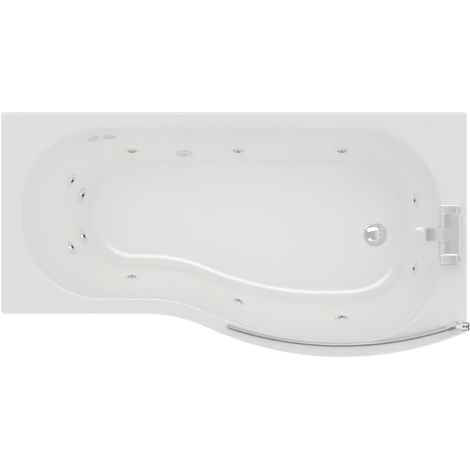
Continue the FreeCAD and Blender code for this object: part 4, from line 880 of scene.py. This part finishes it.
def leg_threads():
    """Threads of the adjustable legs, from their pads up."""
    bm = bmesh.new()
    pad_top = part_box("foot_pads")[1].z
    for low, high in solids("leg_studs"):
        middle = (low + high) / 2
        foot = Vector((middle.x, middle.y, pad_top))
        add_thread(bm, foot, (high.x - low.x) / 2, stud_pitch, high.z - pad_top - stud_pitch)
    close_threads(bm)
    finished(bm, "leg_threads", body_of["leg_studs"], slot_of["leg_studs"])


def tail_threads():
    """Threads of the filler's tails, from above their plain ends up to the nuts."""
    bm = bmesh.new()
    nut_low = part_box("tap_nuts")[0].z
    for low, high in solids("tap_tails"):
        middle = (low + high) / 2
        foot = Vector((middle.x, middle.y, low.z + tail_end))
        add_thread(bm, foot, (high.x - low.x) / 2, tail_pitch, nut_low - foot.z - tail_pitch)
    close_threads(bm)
    finished(bm, "tail_threads", body_of["tap_tails"], slot_of["tap_tails"])


def volute_fastenings():
    """Bolts round the pump's casing and the union on its inlet."""
    inlet_way = Vector((0, 1, 0))
    face = flat_face("pump_volute", inlet_way)
    bolts = bmesh.new()
    for step in range(volute_bolt_count):
        angle = FULL_TURN * (step + 0.5) / volute_bolt_count
        place = face + Vector((math.cos(angle), 0, math.sin(angle))) * volute_bolt_circle
        add_prism(bolts, place, inlet_way, volute_bolt_radius, volute_bolt_height, volute_bolt_sides)
    finished(bolts, "volute_bolts", body_of["pump_volute"], "zinc_steel")
    mouth = Vector((face.x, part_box("pump_volute")[1].y, face.z))
    union = bmesh.new()
    union_base = mouth - inlet_way * (union_length / 2)
    add_prism(union, union_base, inlet_way, union_radius, union_length, union_sides)
    finished(union, "inlet_union", body_of["pump_volute"], slot_of["pump_volute"])


def terminal_lid():
    """Lid of the motor's terminal box with its four screws."""
    out = Vector((-1, 0, 0))
    face = flat_face("pump_motor", out)
    outer = face + out * lid_size.x
    half = Vector((0, lid_size.y, lid_size.z)) / 2
    bm = bmesh.new()
    add_block(bm, outer - half, face + half)
    lid = finished(bm, "terminal_lid", body_of["pump_motor"], slot_of["pump_motor"])
    eased(lid, lid_ease)
    along = lid_size.y * lid_screw_along_share
    rise = lid_size.z * lid_screw_up_share
    screws = bmesh.new()
    for y in (-along, along):
        for z in (-rise, rise):
            add_pan_head(screws, outer + Vector((0, y, z)), out, lid_screw_radius)
    finished(screws, "lid_screws", body_of["pump_motor"], "zinc_steel")


leg_threads()
tail_threads()
volute_fastenings()
terminal_lid()


# Stage, light and camera

def floor():
    """Pale, faintly glowing disc that the bath stands on."""
    bm = bmesh.new()
    bmesh.ops.create_circle(bm, cap_ends=True, segments=floor_sides, radius=floor_reach)
    mesh = bpy.data.meshes.new("floor")
    bm.to_mesh(mesh)
    bm.free()
    material, tree, shader = new_finish("pale_floor", floor_grey, roughness=0.7)
    cloud = noise(tree, object_place(tree), scale=2.0)
    tone = ramp(tree, cloud, [(cloud_low, floor_dark_grey), (cloud_high, floor_grey)])
    tree.links.new(tone, shader.inputs["Base Color"])
    shader.inputs["Emission Color"].default_value = (1, 1, 1, 1)
    shader.inputs["Emission Strength"].default_value = floor_glow
    mesh.materials.append(material)
    piece = bpy.data.objects.new("floor", mesh)
    bpy.context.scene.collection.objects.link(piece)


def from_signed(tree, factor):
    """Brings a value between -1 and 1 to between 0 and 1."""
    node = tree.nodes.new("ShaderNodeMapRange")
    node.inputs["From Min"].default_value = -1.0
    tree.links.new(factor, node.inputs["Value"])
    return node.outputs["Result"]


def greys(stops):
    """Ramp stops between 0 and 1 from (place between -1 and 1, lightness) pairs."""
    return [((place + 1) / 2, (light,) * 3) for place, light in stops]


def sky():
    """White room that gloss and chrome see as darker towards the head end and brighter towards the foot."""
    world = bpy.data.worlds.new("white_room")
    bpy.context.scene.world = world
    world.use_nodes = True
    tree = world.node_tree
    place = tree.nodes.new("ShaderNodeTexCoord")
    part = tree.nodes.new("ShaderNodeSeparateXYZ")
    tree.links.new(place.outputs["Generated"], part.inputs["Vector"])
    by_height = [(-0.02, 1.0), (0.0, side_light), (0.3, side_light), (0.6, overhead_light)]
    by_length = [(-1.0, 0.5), (-0.44, 0.55), (-0.07, 0.56), (0.0, 0.64), (0.17, 0.77), (0.4, 0.95)]
    soft = ramp(tree, from_signed(tree, part.outputs["Z"]), greys(by_height))
    mirrored = ramp(tree, from_signed(tree, part.outputs["X"]), greys(by_length))
    path = tree.nodes.new("ShaderNodeLightPath")
    either = tree.nodes.new("ShaderNodeMixRGB")
    tree.links.new(path.outputs["Is Glossy Ray"], either.inputs["Fac"])
    tree.links.new(soft, either.inputs["Color1"])
    tree.links.new(mirrored, either.inputs["Color2"])
    tree.links.new(either.outputs["Color"], tree.nodes["Background"].inputs["Color"])


def window():
    """Broad panel on the wall side that only shows in gloss and chrome."""
    light = bpy.data.lights.new("window", "AREA")
    light.shape = "RECTANGLE"
    light.size, light.size_y = window_size
    light.energy = window_power
    lamp = bpy.data.objects.new("window", light)
    lamp.location = window_place
    lamp.visible_diffuse = False
    aim = Vector((0, 0, window_aim_height)) - window_place
    lamp.rotation_mode = "QUATERNION"
    lamp.rotation_quaternion = aim.to_track_quat("-Z", "Y")
    bpy.context.scene.collection.objects.link(lamp)


def camera():
    """Camera above the bath that frames the photograph's width at the rim."""
    data = bpy.data.cameras.new("camera")
    data.lens = lens
    data.sensor_width = sensor
    away = photo_pixels * pixel_size * lens / sensor
    data.clip_start = near_clip
    data.clip_end = 2 * away
    holder = bpy.data.objects.new("camera", data)
    holder.location = photo_middle + UP * (rim_z + away)
    bpy.context.scene.collection.objects.link(holder)
    bpy.context.scene.camera = holder


floor()
sky()
window()
camera()
bpy.context.scene.view_settings.view_transform = "Standard"
